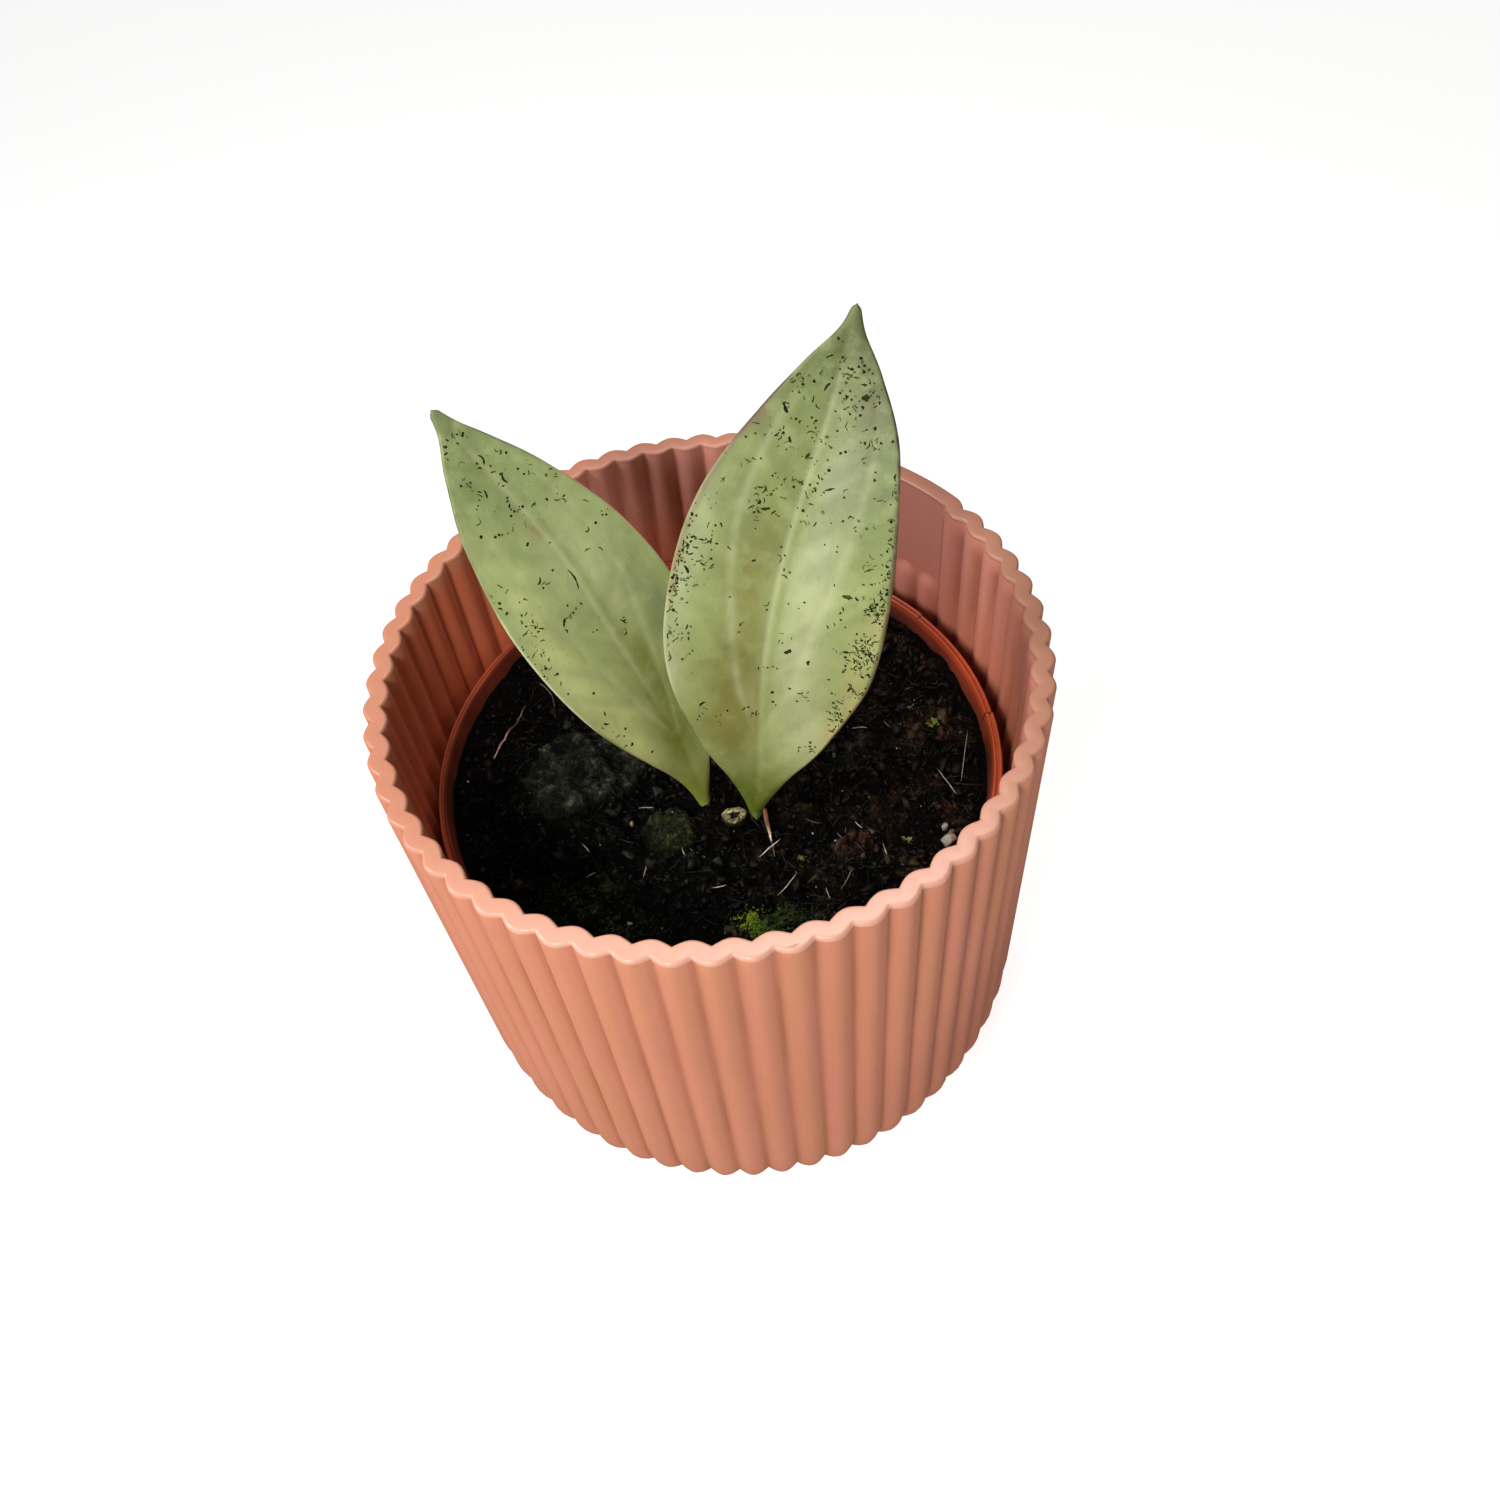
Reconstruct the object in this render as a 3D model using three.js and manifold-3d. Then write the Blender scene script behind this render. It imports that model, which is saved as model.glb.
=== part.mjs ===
// Potted hoya cutting: two leaves on one rooted node, in a nursery pot that stands in a fluted cover pot.
// Millimetres, +Z up, the origin in the middle of the cover pot's underside. The leaves face -Y.

import * as THREE from 'three';
import { mergeVertices } from 'three/addons/utils/BufferGeometryUtils.js';
import Module from 'manifold-3d';

const wasm = await Module();
wasm.setup();

// Space kept between neighbouring pieces
const GAP = 0.3;

// Cover pot: plastic, fluted inside and out, with a smooth panel under part of its rim
const POT_HEIGHT = 128.6;
const POT_RIM_RADIUS = 69.5;
const POT_WALL = 3.8;
const POT_FLOOR = 3.5;
const POT_WALL_SLOPE = 0.03;
const POT_CORNER_OUTSIDE = 34.5;
const POT_CORNER_INSIDE = 31;
const CORNER_STEPS = 4;
const RIB_COUNT = 60;
const RIB_DEPTH = 1.2;
const RIB_START_DEG = 0.685;
const COLUMNS_PER_RIB = 4;
const PANEL_FIRST_RIB = 5;
const PANEL_RIBS = 7;
const PANEL_HEIGHT = 24;
const RIB_TOP_ROUND = 3.6;

// Nursery pot: plastic, round, with a thick collar at its rim and drain holes in its floor
const NURSERY_CENTRE = new THREE.Vector2(-0.5, -2);
const NURSERY_TOP = 98.6;
const NURSERY_BOTTOM = 6.3;
const NURSERY_RIM_RADIUS = 61;
const NURSERY_RIM_WIDTH = 2.2;
const NURSERY_COLLAR = 9;
const NURSERY_WALL = 1.2;
const NURSERY_FOOT_RADIUS = 42;
const NURSERY_FOOT_ROUND = 3;
const NURSERY_COLUMNS = 72;
const DRAIN_HOLES = 6;
const DRAIN_RADIUS = 4;
const DRAIN_CIRCLE_RADIUS = 27;
const DRAIN_SIDES = 16;

// Soil: a plug that fills the nursery pot to just under its rim
const SOIL_LEVEL = 94.8;
const SOIL_RISE_TO_LEFT = 0.012;
const SOIL_RINGS = 8;
const SOIL_RIPPLE = 0.35;
const SOIL_RIPPLE_LENGTH = 20;
const SOIL_LUMPS = [
  { x: -31, y: -3, height: 2.2, spread: 11 },
  { x: -13, y: -18.5, height: 1.4, spread: 4.5 },
  { x: 40, y: 12, height: 1.2, spread: 9 },
  { x: 31, y: -29, height: -1.4, spread: 9 },
  { x: -44, y: 22, height: -1.6, spread: 9 },
  { x: 3, y: -44, height: 1.1, spread: 8 },
];

// Stem: a short cut stub above the soil, the swollen node that both leaves grow from, and the roots
const STEM_SIDES = 12;
const STEM_RINGS = [
  { at: [1.1, -17.4, 97.2], wide: 2.7, deep: 2.1 },
  { at: [1.1, -16.8, 94.5], wide: 2.7, deep: 2.1 },
  { at: [1.0, -15.8, 90.5], wide: 2.8, deep: 2.4 },
  { at: [0.9, -15.0, 87.0], wide: 3.5, deep: 3.0 },
  { at: [0.8, -14.2, 83.0], wide: 2.8, deep: 2.5 },
  { at: [0.5, -12.5, 74.0], wide: 2.4, deep: 2.4 },
  { at: [0.2, -11.0, 64.0], wide: 2.2, deep: 2.2 },
];
const ROOT_COUNT = 4;
const ROOT_RADIUS = 0.9;
const ROOT_START = new THREE.Vector3(0.3, -11.6, 66);
const ROOT_REACH = 21;
const ROOT_DROP = 24;
const ROOT_SIDES = 6;
const ROOT_STEPS = 6;
const ROOT_FIRST_TURN = 0.1;
const ROOT_BENDS = [
  { out: 0, down: 0 },
  { out: 0.35, down: 0.1 },
  { out: 0.75, down: 0.45 },
  { out: 1, down: 1 },
];

// Leaves: each station is a point of the midrib with the blade's width to its left and to its right
const LEAF_COLUMNS = 8;
const LEAF_ROWS_PER_STATION = 2;
const STALK_ENDS_AT_STATION = 1.5;
const BLADE_STARTS_AT_STATION = 3.5;
const STALK_HALF_THICKNESS = 1.35;
const BLADE_HALF_THICKNESS = 0.7;
const MARGIN_HALF_THICKNESS = 0.4;
const MIDRIB_ROUND = 1.5;
const RIGHT_LEAF = {
  facing: [-0.15, -0.85, 0.5],
  fold: 0.16,
  stations: [
    { at: [3.6, -15.9, 86.4], left: 1.4, right: 1.4 },
    { at: [5.1, -16.7, 91.0], left: 1.5, right: 1.5 },
    { at: [5.7, -16.5, 95.5], left: 1.7, right: 1.7 },
    { at: [6.9, -14.9, 105.0], left: 5.6, right: 5.8 },
    { at: [8.2, -13.0, 116.0], left: 12.2, right: 13.2 },
    { at: [10.7, -9.3, 132.3], left: 18.8, right: 20.5 },
    { at: [14.5, -4.9, 148.2], left: 20.0, right: 21.8 },
    { at: [20.0, 0.2, 163.3], left: 18.3, right: 19.5 },
    { at: [26.7, 6.2, 177.6], left: 12.3, right: 14.4 },
    { at: [30.9, 10.6, 187.1], left: 6.5, right: 7.8 },
    { at: [33.2, 13.2, 192.8], left: 2.2, right: 2.8 },
    { at: [34.7, 15.0, 196.7], left: 0.4, right: 0.4 },
  ],
};
const LEFT_LEAF = {
  facing: [0.35, -0.8, 0.45],
  fold: 0.14,
  stations: [
    { at: [-1.4, -13.7, 85.8], left: 1.3, right: 1.3 },
    { at: [-3.4, -12.3, 90.0], left: 1.4, right: 1.4 },
    { at: [-4.7, -11.4, 94.5], left: 1.5, right: 1.7 },
    { at: [-5.9, -10.2, 103.8], left: 3.6, right: 3.7 },
    { at: [-7.8, -8.6, 114.0], left: 8.2, right: 6.9 },
    { at: [-12.7, -5.5, 128.6], left: 13.6, right: 13.0 },
    { at: [-18.2, -1.6, 143.0], left: 16.1, right: 16.0 },
    { at: [-23.6, 2.7, 157.2], left: 16.4, right: 13.9 },
    { at: [-30.9, 7.6, 170.3], left: 12.4, right: 9.4 },
    { at: [-36.3, 11.2, 178.5], left: 6.8, right: 5.2 },
    { at: [-39.6, 13.5, 183.4], left: 2.5, right: 2.2 },
    { at: [-41.8, 15.0, 186.7], left: 0.4, right: 0.4 },
  ],
};

// Materials
const MATERIALS = {
  coverPot: new THREE.MeshStandardMaterial({ color: '#e29a80', roughness: 0.55, metalness: 0 }),
  nurseryPot: new THREE.MeshStandardMaterial({ color: '#a8492b', roughness: 0.45, metalness: 0 }),
  soil: new THREE.MeshStandardMaterial({ color: '#1f1a15', roughness: 0.95, metalness: 0 }),
  stem: new THREE.MeshStandardMaterial({ color: '#8a8a5c', roughness: 0.7, metalness: 0 }),
  leaf: new THREE.MeshStandardMaterial({ color: '#97a56a', roughness: 0.5, metalness: 0 }),
};

const radians = THREE.MathUtils.degToRad;

// A geometry with its shared vertices merged and only its positions left
function welded(geometry) {
  geometry.deleteAttribute('normal');
  geometry.deleteAttribute('uv');
  return mergeVertices(geometry);
}

// Solids of the library that joins and cuts, and geometries made from them
function toSolid(geometry) {
  const merged = welded(geometry.clone());
  const index = merged.getIndex().array;
  const triangles = [];
  for (let i = 0; i < index.length; i += 3) {
    const [a, b, c] = [index[i], index[i + 1], index[i + 2]];
    if (a !== b && b !== c && c !== a) triangles.push(a, b, c);
  }
  return new wasm.Manifold(new wasm.Mesh({
    numProp: 3,
    vertProperties: new Float32Array(merged.getAttribute('position').array),
    triVerts: new Uint32Array(triangles),
  }));
}

function toGeometry(solid) {
  const mesh = solid.getMesh();
  const geometry = new THREE.BufferGeometry();
  geometry.setAttribute('position', new THREE.BufferAttribute(mesh.vertProperties, mesh.numProp));
  geometry.setIndex(new THREE.BufferAttribute(mesh.triVerts, 1));
  geometry.computeVertexNormals();
  return geometry;
}

// A profile of { r, z } points turned about the Z axis, its first column at startDeg from +X.
// LatheGeometry puts its first column where -Y is after the tilt, a quarter turn before +X.
function turned(profile, columns, startDeg = 0) {
  const points = profile.map(({ r, z }) => new THREE.Vector2(r, z));
  const geometry = new THREE.LatheGeometry(points, columns, radians(startDeg + 90));
  return geometry.rotateX(Math.PI / 2);
}

// A closed skin over rings of points, with a flat fan at each end
function skinned(rings) {
  const sides = rings[0].length;
  const middle = (ring) => ring
    .reduce((sum, point) => sum.add(point), new THREE.Vector3())
    .divideScalar(sides);
  const points = [...rings.flat(), middle(rings[0]), middle(rings.at(-1))];
  const lastMiddle = points.length - 1;
  const index = [];
  for (let side = 0; side < sides; side++) {
    const next = (side + 1) % sides;
    for (let ring = 0; ring < rings.length - 1; ring++) {
      const [a, b] = [ring * sides + side, ring * sides + next];
      index.push(a, b, a + sides, b, b + sides, a + sides);
    }
    const end = (rings.length - 1) * sides;
    index.push(lastMiddle - 1, next, side, lastMiddle, end + side, end + next);
  }
  const geometry = new THREE.BufferGeometry().setFromPoints(points);
  geometry.setIndex(index);
  return geometry;
}

// One side of the cover pot's wall from its floor to its rim.
// out is the direction that the wall faces, and rib is the share of the rib depth, which fades out under
// the foot.
function potWall(rimRadius, floorHeight, cornerRadius) {
  const radiusAt = (z) => rimRadius - POT_WALL_SLOPE * (POT_HEIGHT - z);
  const cornerZ = floorHeight + cornerRadius;
  const stretch = Math.hypot(1, POT_WALL_SLOPE);
  const cornerR = radiusAt(cornerZ) - cornerRadius * stretch;
  const rows = [];
  for (let step = 0; step <= CORNER_STEPS; step++) {
    const angle = (step / CORNER_STEPS) * (Math.PI / 2 - Math.atan(POT_WALL_SLOPE));
    const out = { r: Math.sin(angle), z: -Math.cos(angle) };
    rows.push({
      r: cornerR + cornerRadius * out.r,
      z: cornerZ + cornerRadius * out.z,
      out,
      rib: Math.sqrt(out.r),
    });
  }
  const wallOut = rows.at(-1).out;
  const panelFoot = POT_HEIGHT - PANEL_HEIGHT;
  for (const z of [panelFoot - RIB_TOP_ROUND, panelFoot, POT_HEIGHT]) {
    rows.push({ r: radiusAt(z), z, out: wallOut, rib: 1 });
  }
  return rows;
}

// The cover pot: the ribs sink the outer wall between their crests, and the inner wall bulges behind
// each groove, so the wall keeps one thickness as it waves
function coverPot() {
  const outer = potWall(POT_RIM_RADIUS, 0, POT_CORNER_OUTSIDE).map((row) => ({ ...row, inside: false }));
  const inner = potWall(POT_RIM_RADIUS - POT_WALL, POT_FLOOR, POT_CORNER_INSIDE)
    .map((row) => ({ ...row, inside: true }));
  const flat = { r: 0, out: { r: 0, z: 0 }, rib: 0 };
  const profile = [{ ...flat, z: 0 }, ...outer, ...inner.reverse(), { ...flat, z: POT_FLOOR }];
  const geometry = turned(profile, RIB_COUNT * COLUMNS_PER_RIB, RIB_START_DEG);

  const pitch = 360 / RIB_COUNT;
  const panelStart = PANEL_FIRST_RIB * pitch;
  const panelEnd = panelStart + PANEL_RIBS * pitch;
  const panelFoot = POT_HEIGHT - PANEL_HEIGHT;
  const position = geometry.getAttribute('position');
  for (let i = 0; i < position.count; i++) {
    const row = profile[i % profile.length];
    const column = Math.floor(i / profile.length);
    const fromCrest = (column * pitch) / COLUMNS_PER_RIB;
    const inPanel = fromCrest > panelStart && fromCrest < panelEnd && row.z >= panelFoot;
    const wave = Math.abs(Math.cos((Math.PI * fromCrest) / pitch));
    const sunk = row.inside ? Math.sqrt(1 - wave * wave) : 1 - wave;
    const depth = inPanel ? 0 : RIB_DEPTH * row.rib * sunk;
    const around = radians(RIB_START_DEG + fromCrest);
    position.setXYZ(
      i,
      position.getX(i) - depth * row.out.r * Math.cos(around),
      position.getY(i) - depth * row.out.r * Math.sin(around),
      position.getZ(i) - depth * row.out.z,
    );
  }
  return welded(geometry);
}

// Radius of the nursery pot's inner wall at a height
const nurseryTopInside = NURSERY_RIM_RADIUS - NURSERY_RIM_WIDTH;
const nurseryFootInside = NURSERY_FOOT_RADIUS - NURSERY_WALL;
const nurserySlope = (nurseryTopInside - nurseryFootInside) / (NURSERY_TOP - NURSERY_BOTTOM);
const nurseryInside = (z) => nurseryTopInside - nurserySlope * (NURSERY_TOP - z);

function nurseryPot() {
  const collarFoot = NURSERY_TOP - NURSERY_COLLAR;
  const footHalf = NURSERY_FOOT_ROUND * Math.SQRT1_2;
  const footCentre = { r: NURSERY_FOOT_RADIUS - NURSERY_FOOT_ROUND, z: NURSERY_BOTTOM + NURSERY_FOOT_ROUND };
  const floor = NURSERY_BOTTOM + NURSERY_WALL;
  const floorEdge = floor + NURSERY_FOOT_ROUND;
  const body = turned([
    { r: 0, z: NURSERY_BOTTOM },
    { r: footCentre.r, z: NURSERY_BOTTOM },
    { r: footCentre.r + footHalf, z: footCentre.z - footHalf },
    { r: NURSERY_FOOT_RADIUS, z: footCentre.z },
    { r: nurseryInside(collarFoot) + NURSERY_WALL, z: collarFoot },
    { r: NURSERY_RIM_RADIUS - nurserySlope * NURSERY_COLLAR, z: collarFoot },
    { r: NURSERY_RIM_RADIUS, z: NURSERY_TOP },
    { r: nurseryTopInside, z: NURSERY_TOP },
    { r: nurseryInside(floorEdge), z: floorEdge },
    { r: footCentre.r, z: floor },
    { r: 0, z: floor },
  ], NURSERY_COLUMNS);
  let solid = toSolid(body);
  for (let hole = 0; hole < DRAIN_HOLES; hole++) {
    const around = (hole / DRAIN_HOLES) * 2 * Math.PI;
    const drill = new THREE.CylinderGeometry(DRAIN_RADIUS, DRAIN_RADIUS, 3 * NURSERY_WALL, DRAIN_SIDES);
    drill.rotateX(Math.PI / 2);
    drill.translate(
      DRAIN_CIRCLE_RADIUS * Math.cos(around),
      DRAIN_CIRCLE_RADIUS * Math.sin(around),
      NURSERY_BOTTOM + NURSERY_WALL / 2,
    );
    solid = solid.subtract(toSolid(drill));
  }
  return toGeometry(solid).translate(NURSERY_CENTRE.x, NURSERY_CENTRE.y, 0);
}

// Height of the soil: a slight rise to the left, large lumps and a fine unevenness
function soilHeight(x, y) {
  let z = SOIL_LEVEL - SOIL_RISE_TO_LEFT * x;
  const turn = (2 * Math.PI) / SOIL_RIPPLE_LENGTH;
  z += SOIL_RIPPLE * Math.sin(turn * (x + y / 2)) * Math.cos(turn * (y - x / 3));
  for (const lump of SOIL_LUMPS) {
    const apart = Math.hypot(x - lump.x, y - lump.y) / lump.spread;
    z += lump.height * Math.exp(-apart * apart);
  }
  return z;
}

// The whole plug of soil, before the stem, the stalks and the roots get their holes
function soilPlug() {
  const bottom = NURSERY_BOTTOM + NURSERY_WALL + GAP;
  const bottomEdge = bottom + NURSERY_FOOT_ROUND;
  const topRadius = nurseryInside(SOIL_LEVEL) - 2 * GAP;
  const rings = Array.from({ length: SOIL_RINGS + 1 }, (_, ring) => ({
    r: topRadius * (1 - ring / SOIL_RINGS),
    z: SOIL_LEVEL,
    top: true,
  }));
  const profile = [
    { r: 0, z: bottom },
    { r: NURSERY_FOOT_RADIUS - NURSERY_FOOT_ROUND - GAP, z: bottom },
    { r: nurseryInside(bottomEdge) - 2 * GAP, z: bottomEdge },
    ...rings,
  ];
  const geometry = turned(profile, NURSERY_COLUMNS);
  geometry.translate(NURSERY_CENTRE.x, NURSERY_CENTRE.y, 0);
  const position = geometry.getAttribute('position');
  for (let i = 0; i < position.count; i++) {
    if (!profile[i % profile.length].top) continue;
    position.setZ(i, soilHeight(position.getX(i), position.getY(i)));
  }
  return toSolid(geometry);
}

// The stem with its roots, or with grow the space that they need
function stemSolid(grow = 0) {
  const rings = STEM_RINGS.map(({ at, wide, deep }, number) => {
    const end = number === 0 ? 1 : number === STEM_RINGS.length - 1 ? -1 : 0;
    return Array.from({ length: STEM_SIDES }, (_, side) => {
      const around = (side / STEM_SIDES) * 2 * Math.PI;
      return new THREE.Vector3(
        at[0] + (wide + grow) * Math.cos(around),
        at[1] + (deep + grow) * Math.sin(around),
        at[2] + end * grow,
      );
    });
  });
  let solid = toSolid(skinned(rings.reverse()));
  const rootRadius = ROOT_RADIUS + grow / Math.cos(Math.PI / ROOT_SIDES);
  const section = new THREE.Shape(Array.from({ length: ROOT_SIDES }, (_, side) => {
    const angle = (side / ROOT_SIDES) * 2 * Math.PI;
    return new THREE.Vector2(rootRadius * Math.cos(angle), rootRadius * Math.sin(angle));
  }));
  for (let root = 0; root < ROOT_COUNT; root++) {
    const around = (root / ROOT_COUNT + ROOT_FIRST_TURN) * 2 * Math.PI;
    const route = new THREE.CatmullRomCurve3(ROOT_BENDS.map(({ out, down }) => new THREE.Vector3(
      ROOT_START.x + (ROOT_REACH + grow) * out * Math.cos(around),
      ROOT_START.y + (ROOT_REACH + grow) * out * Math.sin(around),
      ROOT_START.z - (ROOT_DROP + grow) * down,
    )));
    const tube = new THREE.ExtrudeGeometry(section, { steps: ROOT_STEPS, extrudePath: route });
    solid = solid.add(toSolid(tube));
  }
  return solid;
}

// A leaf with its stalk, or with grow the space that it needs.
// Both faces are the same grid, bent onto the blade's middle surface and set off by half the thickness.
function leafSolid({ facing, fold, stations }, grow = 0) {
  const midrib = new THREE.CatmullRomCurve3(stations.map(({ at }) => new THREE.Vector3(...at)));
  midrib.curveType = 'catmullrom';
  const sides = stations.map(({ left, right }) => new THREE.Vector3(left, right, 0));
  const widths = new THREE.CatmullRomCurve3(sides);
  widths.curveType = 'catmullrom';
  const spans = stations.length - 1;
  const face = new THREE.Vector3(...facing).normalize();

  const grid = new THREE.PlaneGeometry(2, 1, LEAF_COLUMNS, spans * LEAF_ROWS_PER_STATION);
  const across = grid.getAttribute('position');
  const along = grid.getAttribute('uv');
  const front = [];
  const back = [];
  for (let i = 0; i < across.count; i++) {
    const t = along.getY(i);
    const side = across.getX(i);
    const tangent = midrib.getTangent(t);
    const normal = face.clone().addScaledVector(tangent, -face.dot(tangent)).normalize();
    const right = new THREE.Vector3().crossVectors(normal, tangent).negate();
    const width = widths.getPoint(t);
    const offset = side * ((side < 0 ? width.x : width.y) + grow);
    const rise = fold * (Math.hypot(offset, MIDRIB_ROUND) - MIDRIB_ROUND);
    const blade = THREE.MathUtils.smoothstep(t * spans, STALK_ENDS_AT_STATION, BLADE_STARTS_AT_STATION);
    const middle = THREE.MathUtils.lerp(STALK_HALF_THICKNESS, BLADE_HALF_THICKNESS, blade);
    const half = THREE.MathUtils.lerp(middle, MARGIN_HALF_THICKNESS, side * side) + grow;
    const point = midrib.getPoint(t).addScaledVector(right, offset).addScaledVector(normal, rise);
    if (t === 0) point.addScaledVector(tangent, -grow);
    front.push(point.clone().addScaledVector(normal, half));
    back.push(point.clone().addScaledVector(normal, -half));
  }

  const index = [...grid.getIndex().array];
  const count = front.length;
  const faceTriangles = index.length;
  for (let i = 0; i < faceTriangles; i += 3) {
    index.push(index[i] + count, index[i + 2] + count, index[i + 1] + count);
  }
  const rows = spans * LEAF_ROWS_PER_STATION;
  const vertex = (row, column) => row * (LEAF_COLUMNS + 1) + column;
  const rim = [];
  for (let column = 0; column < LEAF_COLUMNS; column++) rim.push(vertex(rows, column));
  for (let row = rows; row > 0; row--) rim.push(vertex(row, LEAF_COLUMNS));
  for (let column = LEAF_COLUMNS; column > 0; column--) rim.push(vertex(0, column));
  for (let row = 0; row < rows; row++) rim.push(vertex(row, 0));
  rim.forEach((from, number) => {
    const to = rim[(number + 1) % rim.length];
    index.push(from + count, to + count, to, from + count, to, from);
  });
  const geometry = new THREE.BufferGeometry().setFromPoints([...front, ...back]);
  geometry.setIndex(index);
  return toSolid(geometry);
}

function named(name, geometry, material) {
  const mesh = new THREE.Mesh(geometry, material);
  mesh.name = name;
  return mesh;
}

const stemSpace = stemSolid(GAP);
const soil = soilPlug()
  .subtract(stemSpace)
  .subtract(leafSolid(RIGHT_LEAF, GAP))
  .subtract(leafSolid(LEFT_LEAF, GAP));

const plant = new THREE.Group();
plant.add(
  named('stem', toGeometry(stemSolid()), MATERIALS.stem),
  named('leaf_right', toGeometry(leafSolid(RIGHT_LEAF).subtract(stemSpace)), MATERIALS.leaf),
  named('leaf_left', toGeometry(leafSolid(LEFT_LEAF).subtract(stemSpace)), MATERIALS.leaf),
);

const pots = new THREE.Group();
pots.add(
  named('cover_pot', coverPot(), MATERIALS.coverPot),
  named('nursery_pot', nurseryPot(), MATERIALS.nurseryPot),
  named('soil', toGeometry(soil), MATERIALS.soil),
);

const part = new THREE.Group();
part.add(pots, plant);

export default part;
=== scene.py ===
"""Looks of a potted hoya cutting: two thick speckled leaves in dark soil, a nursery pot and a fluted pot.

Lengths are in millimetres until a mesh is made. +Z is up, and the leaves face -Y.
"""

import bpy
import numpy as np
from mathutils import Matrix, Vector


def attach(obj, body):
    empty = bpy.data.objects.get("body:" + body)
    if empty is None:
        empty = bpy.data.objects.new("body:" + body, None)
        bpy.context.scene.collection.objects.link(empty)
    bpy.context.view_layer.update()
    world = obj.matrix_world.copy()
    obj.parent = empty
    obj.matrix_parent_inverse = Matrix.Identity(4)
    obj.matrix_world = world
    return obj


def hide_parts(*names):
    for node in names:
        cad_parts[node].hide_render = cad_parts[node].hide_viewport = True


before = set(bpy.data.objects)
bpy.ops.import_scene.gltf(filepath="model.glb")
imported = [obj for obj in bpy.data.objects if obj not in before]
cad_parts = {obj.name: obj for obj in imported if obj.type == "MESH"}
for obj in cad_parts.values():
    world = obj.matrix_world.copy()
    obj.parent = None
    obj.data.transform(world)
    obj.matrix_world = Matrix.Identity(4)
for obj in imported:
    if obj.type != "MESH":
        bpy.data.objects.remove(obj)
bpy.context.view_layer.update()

MM = 0.001
LATTICE = 256

# Cover pot, as its solid, with crisper ribs, a rounded rim and a shallow recess underneath
POT_HEIGHT = 128.6
POT_RIM_RADIUS = 69.5
POT_WALL = 3.8
POT_FLOOR = 3.5
POT_WALL_SLOPE = 0.03
POT_CORNER_OUTSIDE = 34.5
POT_CORNER_INSIDE = 31.0
POT_RIM_ROUND = 0.75
POT_UNDERSIDE = [
    # Radius and height of each row, from the recess out to the ring that it stands on
    (12.0, 0.8), (27.5, 0.8), (28.4, 0.8), (29.0, 0.35), (29.5, 0.05),
]
POT_FLOOR_MIDDLE = 15.0
RIB_COUNT = 60
OUTER_RIB_DEPTH = 1.5
INNER_RIB_DEPTH = 1.3
RIB_START_DEG = 0.685
COLUMNS_PER_RIB = 12
RIB_PITCH = 360 / RIB_COUNT
PANEL_FROM = 5 * RIB_PITCH
PANEL_TO = 12 * RIB_PITCH
PANEL_FOOT = POT_HEIGHT - 24.0
RIB_TOP_ROUND = 3.6
RIM_FACE_FROM = 127.3
RIM_FACE_TO = 128.0
RIM_SCUFFS = [
    # Where it is and how far it reaches
    (7.3, -68.1, 128.5, 0.5), (8.2, -67.8, 128.5, 0.42), (9.0, -68.3, 128.4, 0.2), (6.0, -68.2, 128.4, 0.22),
    (13.3, -66.4, 128.4, 0.2), (29.4, -60.9, 128.5, 0.3),
]

# Nursery pot
NURSERY_CENTRE = (-0.5, -2.0)
NURSERY_TOP = 98.6
NURSERY_BOTTOM = 6.3
NURSERY_RIM_RADIUS = 61.0
NURSERY_RIM_WIDTH = 2.2
NURSERY_COLLAR = 9.0
NURSERY_WALL = 1.2
NURSERY_FOOT_RADIUS = 42.0
NURSERY_COLUMNS = 360
TAB_FROM_DEG = 0.6
TAB_TO_DEG = 31.4
TAB_EDGE_DEG = 0.15
TAB_SUNK = 0.22
TAB_CUT_WIDTH_DEG = 0.2
TAB_REACH = 6.0
# Shares on the last rows of the pot's profile, which lie inside: soil smeared down the inner wall with
# painted shade, and the inner bead, which takes painted shade at the left
SMEAR_AND_SHADE_ROWS = [0.12, 0.6, 1, 1, 1, 1, 1]
INNER_BEAD_ROWS = [0.3, 0.7, 0.9, 1, 1, 1, 1, 1, 1, 1, 0, 0, 0, 0, 0]

# Soil
SOIL_LEVEL = 94.8
SOIL_RISE_TO_LEFT = 0.012
SOIL_RIPPLE = 0.35
SOIL_RIPPLE_LENGTH = 20.0
SOIL_LUMPS = [
    # Place, height and spread
    (-31.0, -3.0, 2.2, 11.0),
    (-13.0, -18.5, 1.4, 4.5),
    (40.0, 12.0, 1.2, 9.0),
    (31.0, -29.0, -1.4, 9.0),
    (-44.0, 22.0, -1.6, 9.0),
    (3.0, -44.0, 1.1, 8.0),
]
# Width of the clumps and how far they stand up, from the largest to the smallest
SOIL_CLUMPS = [(9.0, 2.2), (4.4, 1.8), (2.3, 1.1), (1.2, 0.5)]
LEAF_FEET = [(6.2, -17.6), (-4.4, -13.2)]
FOOT_HEAP = 0.7
FOOT_HEAP_SPREAD = 2.6
CLOD_RISE = 2.2
CLOD_HALF_LENGTH, CLOD_HALF_WIDTH = 16.5, 11.0
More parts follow.
